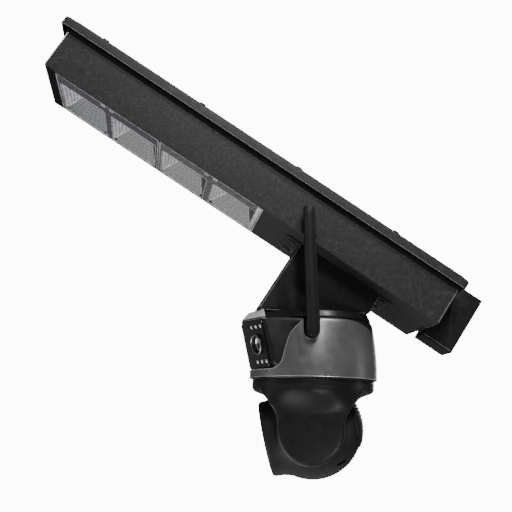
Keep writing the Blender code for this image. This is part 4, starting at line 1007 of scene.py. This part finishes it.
def lens_block():
    """The twin-lens block: a sloping roof with its visor, flat faces and a rounded foot."""
    top, foot = block_high.z, block_low.z
    corners = points_of("lens_block", CAM)
    nose_up, corner_up, back_up = key_points([p for p in corners if p.z > top - 2 * mm])
    nose_dn, corner_dn, _ = key_points([p for p in corners if p.z < foot + 2 * mm])
    back_x, back_y = max(back_up.x, -20 * mm), 52 * mm

    def outline(z, inset):
        t = (top - z) / (top - foot)
        nose = nose_up.x + (nose_dn.x - nose_up.x) * t + inset
        cx = corner_up.x + (corner_dn.x - corner_up.x) * t + inset
        cy = corner_up.y + (corner_dn.y - corner_up.y) * t - inset
        by = back_y - inset
        points = [(nose, 0), (cx, -cy), (back_x, -by), (back_x, by), (cx, cy)]
        return round_corners(points, [14 * mm, 5 * mm, 1 * mm, 1 * mm, 5 * mm], 6)

    def roof_loft(*levels):
        """Levels are (height above the block's top, inset) in millimetres."""
        return loft([at_height(outline(min(top + z, top), inset), top + z)
                     for z, inset in mms(*levels)])

    levels = [(top + z, inset) for z, inset in
              mms((1.2, 9), (1.0, 7.5), (-4.5, 1.2), (-5.4, 0.35), (-6.6, 0))]
    levels += [(foot + 7 * mm, 0.0)]
    levels += [(foot + rise, inset) for inset, rise in reversed(fillet(6 * mm, 5))]
    core = rod(56.5 * mm, (0, 0, -90 * mm), (0, 0, -13 * mm), 72)
    cap = rod(50.4 * mm, (0, 0, -14 * mm), (0, 0, 10 * mm), 72)
    bores = [rod(10 * mm, *[face_frame(label) @ Vector((0, 0, z)) for z in (-6.5 * mm, 6 * mm)], 40)
             for label in ("near", "far")]
    body = loft([at_height(outline(z, inset), z) for z, inset in levels])
    shape = Shape().add(carve(body, [core, cap, *bores]), BLACK)
    # Painted highlight along the block's edge line.
    line_z = top - 5.9 * mm
    path = [p for p in at_height(outline(line_z, 0.15 * mm), line_z) if p.x < -26 * mm]
    start = max(range(len(path)), key=lambda i: (path[i] - path[i - 1]).length)
    shape.add(tube(path[start:] + path[:start], 0.35 * mm, 6), EDGE_HIGHLIGHT)
    shape.piece("lens_block_moulding", CAM, "housing", "black_plastic", ["lens_block"], 40)

    # The visor is painted light grey as a highlight: it is the lit band of the roof and ends where the shade under
    # the wedge starts.
    visor = roof_loft((-4.3, 0.6), (1.4, 7.2), (1.9, 8.8))
    rise_from, rise_to = nose_up.x, -54 * mm
    for vert in visor.verts:
        if vert.co.z > top:
            vert.co.z += 3.6 * mm * min(1, max(0, (vert.co.x - rise_from) / (rise_to - rise_from)))
    body_top = roof_loft((-6, 0), (-4.5, 1.3), (1.0, 7.7), (1.2, 9.2))
    visor = carve(visor, [rod(51 * mm, (0, 0, -20 * mm), (0, 0, 10 * mm), 72), body_top,
                          block(*mms((-55, -90, -60), (60, 90, 40)))])
    single("lens_visor_plate", visor, VISOR_HIGHLIGHT_GREY, CAM, "housing", "black_plastic",
           ["lens_visor"], 40)
    mic = rod(0.9 * mm, *mms((-50, -36, -60), (-51.4, -37, -60)), 14)
    single("microphone_hole", mic, RUBBER, CAM, "housing", "black_plastic")


def face_frame(label):
    """Frame on a face of the twin-lens block: Z out of the face, Y up, origin at the lens."""
    plate = nodes[f"face_plate_{label}"].data
    to_cam = CAM.inverted()
    normal = max(plate.polygons, key=lambda p: p.area).normal.copy()
    if normal.x > 0:
        normal.negate()
    up = (Z_AXIS - normal * normal.z).normalized()
    on_plate = sum((to_cam @ v.co for v in plate.vertices), Vector()) / len(plate.vertices)
    middle = to_cam @ centre(f"lens_barrel_{label}")
    return axes(middle + normal * (on_plate - middle).dot(normal), up.cross(normal), up)


def lens_faces():
    spots = mms(*[(x, y, 0) for y in (-17, 17) for x in (-9.5, 0, 9.5)])
    for label in ("near", "far"):
        place = CAM @ face_frame(label)
        low, high = extent(f"face_plate_{label}", place)
        holes = [rod(radius, (x, y, -5 * mm), (x, y, 5 * mm), steps) for radius, x, y, steps in
                 [(9.9 * mm, 0, 0, 48), *[(2.9 * mm, x, y, 24) for x, y, _ in spots]]]
        plate = carve(slab(low, high, 4 * mm, 0.1 * mm, 0.5 * mm, 6), holes)
        single(f"face_plate_{label}_window", plate, SMOKED, place, "housing", "smoked_panel",
               [f"face_plate_{label}"])
        leds = Shape()
        for spot in spots:
            at = Matrix.Translation(spot)
            leds.turned(IR_LED, 20, [(0, 1.1), (1.0, 0.95), (1.7, 0.4), (1.9, -0.2), (1.9, -0.5),
                                     (0, -0.5)], at, closed=False)
            leds.turned(SMOKED, 20, [(2.0, -0.5), (2.75, -0.5), (2.75, 0.3), (2.35, 0.5),
                                     (2.0, 0.1)], at)
        leds.piece(f"infrared_leds_{label}", place, "housing", "lens_glass")
        barrel = Shape()
        barrel.turned(BLACK, 56, [(9.7, 3.7), (9.7, -6.5), (3.5, -6.5), (3.5, -4.2), (5.0, -3.0),
                                  (6.2, -1.4), (6.3, -1.0), (7.2, 0.1), (7.3, 0.6), (8.4, 3.4),
                                  (9.0, 3.9)])
        barrel.turned(SILVER, 56, [(9.6, 3.95), (9.85, 3.6), (9.3, 3.4), (8.7, 3.8), (9.0, 4.15)])
        barrel.turned(SILVER, 48, [(6.9, 0.3), (7.1, 0), (6.3, -0.9), (5.9, -0.8)])
        barrel.piece(f"lens_barrel_{label}_turned", place, "housing", "black_plastic",
                     [f"lens_barrel_{label}"])
        glass = Shape()
        glass.turned(LENS, 40, [(0, -0.3), (2.0, -0.5), (4.0, -1.1), (5.6, -2.0), (4.4, -3.4),
                                (0, -3.4)], closed=False)
        # Painted reflection: a pinkish ring for the coating's reflection.
        glass.turned(LENS_REFLECTION_RING, 32, [(1.2, -0.35), (2.3, -0.52), (2.3, -0.75), (1.2, -0.7)])
        glass.piece(f"lens_glass_{label}_dome", place, "housing", "lens_glass",
                    [f"lens_glass_{label}"])


# ---------------- yoke
def yoke_parts():
    """A ring with a sloping underside whose wall runs smoothly down into two rounded arms."""
    ring_r = max(math.hypot(p.x, p.y) for p in points_of("yoke", PAN))
    dome_top = extent("yoke", PAN)[1].z
    ring_top = SHELL[-1][1] - 0.4 * mm
    wall_end = ring_top - 9.1 * mm
    foot = ring_top - 17.4 * mm
    outer = [(20 * mm, dome_top), (50 * mm, dome_top), (50 * mm, ring_top), (ring_r, ring_top),
             (ring_r, wall_end), (ring_r - 2.4 * mm, wall_end - 3.2 * mm),
             (51 * mm, wall_end - 5.6 * mm), (45.5 * mm, foot)]
    inner = [(44.5 * mm, foot), (44.5 * mm, dome_top - 2.5 * mm), (20 * mm, dome_top - 2.5 * mm)]
    shape = Shape().add(revolve(smooth_profile(outer, 2.6 * mm) + inner, 128, closed=True), BLACK)
    # Painted highlight round the ring's upper rim.
    rim = level_circle(ring_r - 0.3 * mm, ring_top - 0.4 * mm)
    shape.add(tube(rim, 0.35 * mm, 6, closed=True), PLASTIC_EDGE_HIGHLIGHT)

    top = ring_top - 1 * mm
    half, drop = 32 * mm, 35 * mm
    face_y = extent("arm_cover_far", PAN)[1].y - 0.2 * mm
    edge = catmull([(50 * mm, top), *[(x * mm, wall_end - z * mm) for x, z in (
        (50, 0), (48.5, 4), (43, 11.5), (36.8, 19.5), (33.2, 27), (32, 35))], (half, TILT_Z)], 5)

    def flatness(z):
        """0 at the ring's round wall, 1 on the flat lower arm, and smooth between them."""
        ease = min(1.0, max(0.0, (wall_end - z) / (26 * mm)))
        return ease * ease * (3 - 2 * ease)

    def skin_y(x, z):
        """Outer face: the ring's round wall above, easing to a slightly crowned flat below."""
        ease = flatness(z)
        round_wall = math.sqrt(max(0.0, (ring_r - 0.05 * mm) ** 2 - x * x))
        below = max(0.0, (TILT_Z + 8 * mm - z) / drop)
        crown = face_y - 0.6 * mm * (x / half) ** 2 - 2.6 * mm * below * below
        return round_wall * (1 - ease) + crown * ease

    clear = extent("head_front", TILT)[1].y + 0.6 * mm

    def arm_loop(inset, depth, side, narrow=1.0):
        """The arm's outline, inset or narrowed towards its middle, laid on the skin at a depth."""
        lower = 0.85 + 0.15 * narrow
        side_line = [((p.x - inset) * narrow, TILT_Z + (p.y - TILT_Z) * lower) for p in edge]
        bottom = [((half - inset) * narrow * math.cos(a),
                   TILT_Z - (drop - inset) * narrow * math.sin(a))
                  for a in [math.pi * k / 32 for k in range(1, 32)]]
        reach, roof_z = side_line[0]
        roof = [(-reach + 2 * reach * k / 16, roof_z) for k in range(1, 16)]
        line = side_line + bottom + [(-x, z) for x, z in reversed(side_line)] + roof
        return [Vector((x, side * max(skin_y(x, z) - depth, clear * flatness(z)), z))
                for x, z in line]

    def capped(loops):
        """A loft whose thin curved end faces are triangulated, so that they shade smoothly."""
        bm = loft(loops)
        bmesh.ops.triangulate(bm, faces=[face for face in bm.faces if len(face.verts) > 4])
        return bm

    nested = [0.9, 0.75, 0.6, 0.45, 0.3, 0.15, 0.03]

    def arm_body(side, *levels):
        """A body from its inner to its outer face, through (inset, depth) levels in millimetres."""
        levels = mms(*levels)
        (low_inset, low_depth), (high_inset, high_depth) = levels[0], levels[-1]
        loops = [arm_loop(low_inset, low_depth, side, narrow) for narrow in reversed(nested)]
        loops += [arm_loop(inset, depth, side) for inset, depth in levels]
        return capped(loops + [arm_loop(high_inset, high_depth, side, narrow) for narrow in nested])

    for side, label in ((-1, "near"), (1, "far")):
        arm = arm_body(side, (1.2, 10.4), (0.4, 10.1), (0, 9.2), (0, 3.6))
        pocket, bore = [rod(radius, (0, side * start, TILT_Z), (0, side * 60 * mm, TILT_Z), steps)
                        for radius, start, steps in
                        ((24 * mm, 42.5 * mm, 48), (4.4 * mm, 30 * mm, 24))]
        shape.add(carve(arm, [pocket, bore]), BLACK)
        cover = Shape().add(arm_body(side, (0, 3.3), (0, 2.6), (0.25, 1.5), (0.9, 0.6), (1.9, 0.15),
                                     (3.2, 0)), BLACK)
        # Painted highlight along the cover's edge.
        cover.add(tube(arm_loop(0.35 * mm, 1.1 * mm, side)[6:-21], 0.3 * mm, 6), PLASTIC_EDGE_HIGHLIGHT)
        cover.piece(f"arm_cover_{label}_skin", PAN, "pan_head", "black_plastic",
                    [f"arm_cover_{label}"], 45)
    shape.piece("yoke_moulding", PAN, "pan_head", "black_plastic", ["yoke"], 40)


# ---------------- tilting head
def on_sphere(radius, turn, lift):
    """A point of a sphere, turned round Z from X and then lifted."""
    return radius * Vector((math.cos(turn) * math.cos(lift), math.sin(turn) * math.cos(lift),
                            math.sin(lift)))


def head_parts():
    ball = max(v.length for v in points_of("head_rear", TILT))
    front_low, front_high = extent("head_front", TILT)
    flank, rim = front_high.y, -front_low.x
    lens_way = Matrix.Rotation(-math.pi / 2, 4, "Y")
    hood_r, split, far = 37 * mm, 6 * mm, 90 * mm

    def trimmed(bm, cutters):
        """The mesh cut off at both flanks and hollowed by the cutters."""
        sides = [block((-far, -far, -far), (far, -flank, far)),
                 block((-far, flank, -far), (far, far, far))]
        return carve(bm, sides + cutters)

    def half_ball(low_x, high_x, *cutters):
        """The ball without what lies between two X values, bored for the tilt pins."""
        bm = bmesh.new()
        bmesh.ops.create_uvsphere(bm, u_segments=96, v_segments=64, radius=ball)
        bmesh.ops.rotate(bm, verts=bm.verts, matrix=Matrix.Rotation(math.pi / 2, 3, "Y"))
        pin_hole = rod(4.4 * mm, (0, -60 * mm, 0), (0, 60 * mm, 0), 24)
        return trimmed(bm, [block((low_x, -far, -far), (high_x, far, far)), *cutters, pin_hole])

    hood = catmull([(r * mm, rim + z * mm) for r, z in (
        (33.9, -30), (33.9, -3), (34.0, -1), (34.4, -0.2), (35.4, -0.3), (36.4, -1.3), (37.0, -3.2),
        (37.3, -8), (38.3, -14), (40.5, -20.5), (42.4, -24), (42, -36))], 4)
    mouth = rod(hood_r - 1.2 * mm, (-80 * mm, 0, 0), (-33 * mm, 0, 0), 96)
    shape = Shape().add(half_ball(split - GAP / 2, far, mouth), BLACK_SOFT)
    hood = revolve([*hood, (33.9 * mm, rim - 36 * mm)], 128, closed=True)
    bmesh.ops.transform(hood, matrix=lens_way, verts=hood.verts)
    shape.add(trimmed(hood, []), BLACK_SOFT)
    # Painted highlight round the hood's front edge.
    line = circle(Vector((3.4 * mm - rim, 0, 0)), Y_AXIS, Z_AXIS, hood_r - 0.55 * mm)
    shape.add(tube(line, 0.4 * mm, closed=True), PLASTIC_EDGE_HIGHLIGHT)
    shape.piece("head_front_moulding", TILT, "tilt_head", "black_plastic", ["head_front"], 40)

    level_way = (TILT.inverted() @ CAM).to_3x3()
    out = level_way @ Vector((25.6, -30, -32.5)).normalized()
    long_way = level_way @ Vector((1, 0.2, 0.45))
    slot = slab(*mms((-5.2, -2, -2), (5.2, 2, 6)), 1.6 * mm)
    bmesh.ops.transform(slot, matrix=axes(out * ball, long_way - out * long_way.dot(out),
                                          out.cross(long_way)), verts=slot.verts)
    shape = Shape().add(half_ball(-far, split + GAP / 2, slot), BLACK_SOFT)
    radius = math.sqrt(ball * ball - split * split) - 0.25 * mm
    reach = math.acos(flank / radius)
    # Painted highlights along the seam between the head's halves.
    for sign in (1, -1):
        turns = [reach + (math.pi - 2 * reach) * k / 32 for k in range(33)]
        seam = [Vector((split + 0.5 * mm, radius * math.cos(a), sign * radius * math.sin(a)))
                for a in turns]
        shape.add(tube(seam, 0.4 * mm, 6), PLASTIC_EDGE_HIGHLIGHT)
    for sign in (1, -1):
        for k in range(8):
            lift = sign * math.radians(34 + 3.4 * k)
            rib = [on_sphere(ball, math.radians(-24 + 4 * i), lift) for i in range(13)]
            shape.add(tube(rib, 0.55 * mm, 6), BLACK_SOFT)
    shape.piece("head_rear_moulding", TILT, "tilt_head", "black_plastic", ["head_rear"], 40)

    low, high = extent("head_bezel", TILT)
    bezel_r = high.y - 0.6 * mm
    profile = [(14.3 * mm, -3.2 * mm), (15.2 * mm, -2.0 * mm), (20 * mm, -1.4 * mm),
               (bezel_r, -0.2 * mm), (bezel_r, -4.8 * mm), (14.3 * mm, -4.8 * mm)]
    bezel_at = Matrix.Translation((0, 0, -low.x))
    window = revolve(smooth_profile(profile, 0.8 * mm, 3), 96, closed=True)
    bezel = Shape().add(window, SMOKED, bezel_at)
    for k in range(6):
        spot = on_sphere(21.5 * mm, math.radians(60 * k + 30), 0) - 1.3 * mm * Z_AXIS
        at = bezel_at @ Matrix.Translation(spot)
        bezel.turned(IR_LED, 20, [(0, 1.2), (1.4, 0.9), (2.1, 0.1), (2.1, -0.4), (0, -0.4)], at,
                     closed=False)
        bezel.turned(SILVER, 20, [(2.2, -0.4), (2.9, -0.4), (2.9, 0.4), (2.3, 0.6)], at)
    bezel.piece("head_bezel_window", TILT @ lens_way, "tilt_head", "smoked_panel", ["head_bezel"])

    at = Matrix.Translation((0, 0, -extent("head_lens_barrel", TILT)[0].x))
    barrel = Shape()
    barrel.turned(BLACK, 64, [(14, 0), (14, -29), (5, -29), (5, -7.5), (8.6, -4.2), (9.0, -3.0),
                              (10.4, -2.4), (10.8, -1.2), (12.2, -0.6), (12.8, 0)], at)
    barrel.turned(SILVER, 64, [(13.9, 0.15), (12.9, 0.2), (12.5, -0.3), (13.4, -0.4)], at)
    barrel.piece("head_lens_barrel_turned", TILT @ lens_way, "tilt_head", "black_plastic",
                 ["head_lens_barrel"])
    at = Matrix.Translation((0, 0, -extent("head_lens_glass", TILT)[0].x))
    glass = Shape()
    glass.turned(LENS, 48, [(0, 0), (3, -0.3), (6, -1.3), (8.4, -2.8), (6, -4.4), (0, -4.4)], at,
                 closed=False)
    # Painted reflection: a pinkish ring for the coating's reflection.
    glass.turned(LENS_REFLECTION_RING, 40, [(1.6, -0.05), (3.2, -0.3), (3.2, -0.6), (1.6, -0.5)], at)
    glass.piece("head_lens_glass_dome", TILT @ lens_way, "tilt_head", "lens_glass",
                ["head_lens_glass"])

    speaker(ball)


def speaker(ball):
    """The ribbed cover over the speaker: a shallow cap with raised parallel ribs."""
    cap = revolve([(radius * math.sin(math.radians(a)), radius * math.cos(math.radians(a)))
                   for radius, turns in ((ball + 1.7 * mm, range(0, 31, 3)),
                                         (ball + 0.3 * mm, range(33, -1, -3)))
                   for a in turns], 96)
    shape = Shape().add(cap, BLACK_SOFT, Matrix.Rotation(math.pi / 2, 4, "Y"))
    for lift in [math.radians(-25 + 50 * k / 12) for k in range(13)]:
        width = math.sqrt(max(0.0, math.radians(28.5) ** 2 - lift ** 2))
        rib = [on_sphere(ball + 1.85 * mm, width * (i / 7 - 1), lift) for i in range(15)]
        shape.add(tube(rib, 0.6 * mm, 6), BLACK_SOFT)
    shape.piece("speaker_cover_ribbed", TILT, "tilt_head", "black_plastic", ["speaker_cover"], 40)


# ---------------- aerial
def paddle():
    low, high = extent("aerial", AERIAL)
    foot_r = -low.z
    top = high.z
    near, far = low.y, -low.y
    loops = []
    levels = [(-0.96, 0.28, 0.80), (-0.87, 0.50, 0.92), (-0.70, 0.72, 0.98), (-0.45, 0.90, 1.0),
              (0.0, 1.0, 1.0)]
    levels = [(t * foot_r / top, wide, thick) for t, wide, thick in levels]
    levels += [(0.06, 1.0, 1.0), (0.16, 0.985, 1.0), (0.5, 0.93, 0.97), (0.93, 0.85, 0.95),
               (0.992, 0.83, 0.93), (1.0, 0.74, 0.84)]
    for t, wide, thick in levels:
        half = foot_r * wide
        front, back = near * thick, far * thick
        z = t * top
        loops.append([Vector(p) for p in (
            (-half, front * 0.25, z), (-half * 0.78, front * 0.80, z), (-half * 0.42, front, z),
            (half * 0.42, front, z), (half * 0.78, front * 0.80, z), (half, front * 0.25, z),
            (half, back * 0.4, z), (half * 0.6, back, z), (-half * 0.6, back, z),
            (-half, back * 0.4, z))])
    shape = Shape().add(loft(loops), AERIAL_BLACK)
    shape.add(rod(2.5 * mm, (0, 3 * mm, 0), (0, high.y, 0), 24, 0.3 * mm), AERIAL_BLACK)
    # Painted highlights along the paddle's front edges.
    for side in (-1, 1):
        path = [Vector((side * foot_r * wide * 0.76, near * 0.82 * thick, t * top))
                for t, wide, thick in levels[4:-1]]
        shape.add(tube(path, 0.22 * mm, 6), PLASTIC_EDGE_HIGHLIGHT)
    shape.piece("aerial_paddle", AERIAL, "aerial_arm", "black_plastic", ["aerial"], 24)


# ---------------- carried-over CAD nodes
CARRIED = {
    RUBBER: ["cable_gland"],
    WHITE_BOARD: ["led_board_1", "led_board_2"],
    PHOSPHOR: [f"led_chip_{k}" for k in (1, 2, 3, 4)],
    ALUMINIUM: ["heat_spreader"],
    WRAP: [f"battery_cell_{k}" for k in (1, 2, 3, 4)],
    BLACK: ["battery_cradle", "inner_housing"],
    GREEN_BOARD: ["charge_board", "main_board"],
    STEEL: ["pan_motor", "tilt_motor", "tilt_pin_near", "tilt_pin_far"],
    ACETAL: ["pan_gear", "pan_pinion"],
}


def carried_nodes():
    for mat, names in CARRIED.items():
        for name in names:
            mesh = nodes[name].data
            mesh.materials.clear()
            mesh.materials.append(mat)


# ---------------- studio
def area_light(name, place, target, size, power):
    data = bpy.data.lights.new(name, "AREA")
    data.shape = "RECTANGLE"
    data.size, data.size_y = size
    data.energy = power
    light = bpy.data.objects.new(name, data)
    light.location = place
    light.rotation_mode = "QUATERNION"
    light.rotation_quaternion = (Vector(target) - Vector(place)).to_track_quat("-Z", "Y")
    bpy.context.scene.collection.objects.link(light)


def studio_floor(middle, height):
    """A pale floor that glows to the camera alone, so that the camera sees no shadow on it."""
    glow = 1.6
    mat = new_material("pale_floor", (0.90, 0.90, 0.90), 0.65, Emission_Color=(1, 1, 1, 1))
    feed(mat, "Roughness", ramp(mat, noise(mat, 0.2), [(0.3, 0.6), (0.7, 0.7)]))
    seen = add_node(mat, "LightPath").outputs["Is Camera Ray"]
    feed(mat, "Emission Strength", multiplied(mat, seen, glow))
    bm = bmesh.new()
    bmesh.ops.create_grid(bm, x_segments=1, y_segments=1, size=2.6)
    floor = temporary(bm)
    floor.name = floor.data.name = "floor"
    floor.location = (middle.x, middle.y, height)
    floor.data.materials.append(mat)


def studio_world():
    """Dim even light from all round, with a bright backdrop that only the camera sees."""
    ambient_strength, backdrop_strength = 0.12, 12.0
    world = bpy.data.worlds.new("studio")
    world.use_nodes = True
    tree = world.node_tree
    ambient, backdrop = tree.nodes["Background"], tree.nodes.new("ShaderNodeBackground")
    for background, strength in ((ambient, ambient_strength), (backdrop, backdrop_strength)):
        background.inputs["Color"].default_value = (1, 1, 1, 1)
        background.inputs["Strength"].default_value = strength
    rays = tree.nodes.new("ShaderNodeLightPath")
    mix = tree.nodes.new("ShaderNodeMixShader")
    tree.links.new(rays.outputs["Is Camera Ray"], mix.inputs[0])
    tree.links.new(ambient.outputs[0], mix.inputs[1])
    tree.links.new(backdrop.outputs[0], mix.inputs[2])
    tree.links.new(mix.outputs[0], tree.nodes["World Output"].inputs["Surface"])
    bpy.context.scene.world = world


def studio():
    low, high = cad_bounds
    middle = (low + high) / 2
    seat = CAM.translation
    floor_drop = 1.05
    studio_floor(middle, low.z - floor_drop)
    studio_world()
    for name, start, offset, target, size, power in (
            ("key", seat, (-0.55, -1.2, 0.9), middle, (0.7, 0.7), 2),
            ("strip", seat, (0.04, -1.0, 0.60), seat, (0.12, 0.30), 7),
            ("glint", seat, (0.34, -0.85, 1.15), seat, (0.06, 0.10), 18),
            ("left_rim", seat, (-1.3, 0.05, 0.3), middle, (0.4, 1.0), 1.2),
            ("below", seat, (-0.8, -0.3, -0.95), middle, (1.2, 1.2), 18),
            ("low_spots", seat, (0.10, -1.0, -0.50), seat, (0.24, 0.12), 2),
            ("right_rim", seat, (1.2, -0.15, -0.2), seat, (0.2, 0.7), 1.2),
            ("back", middle, (0.5, 1.4, 0.3), middle, (1.0, 0.9), 12),
            ("top", middle, (0.2, 0.3, 1.2), middle, (1.2, 0.8), 9)):
        area_light(name, start + Vector(offset), target, size, power)


def camera():
    """Looks up a little at the lamp's near side, as the photograph does."""
    data = bpy.data.cameras.new("camera")
    data.sensor_width = 36
    data.lens = 70.3125
    cam = bpy.data.objects.new("camera", data)
    eye = CAM @ Vector((-167.3 * mm, -989.2 * mm, -116.5 * mm))
    forward = Vector((0.1060, 0.9793, 0.1725)).normalized()
    right = Vector((0.9934, -0.1119, 0.0250))
    up = right.cross(forward).normalized()
    right = forward.cross(up)
    cam.matrix_world = Matrix.Translation(eye) @ Matrix((right, up, -forward)).transposed().to_4x4()
    data.clip_end = 100
    bpy.context.scene.collection.objects.link(cam)
    bpy.context.scene.camera = cam


camera()
studio()
lamp_body()
lamp_lid()
solar_top()
optic_module(1, True)
optic_module(2, False)
bracket()
wedge()
screws()
camera_shells()
lens_block()
lens_faces()
yoke_parts()
head_parts()
paddle()
carried_nodes()
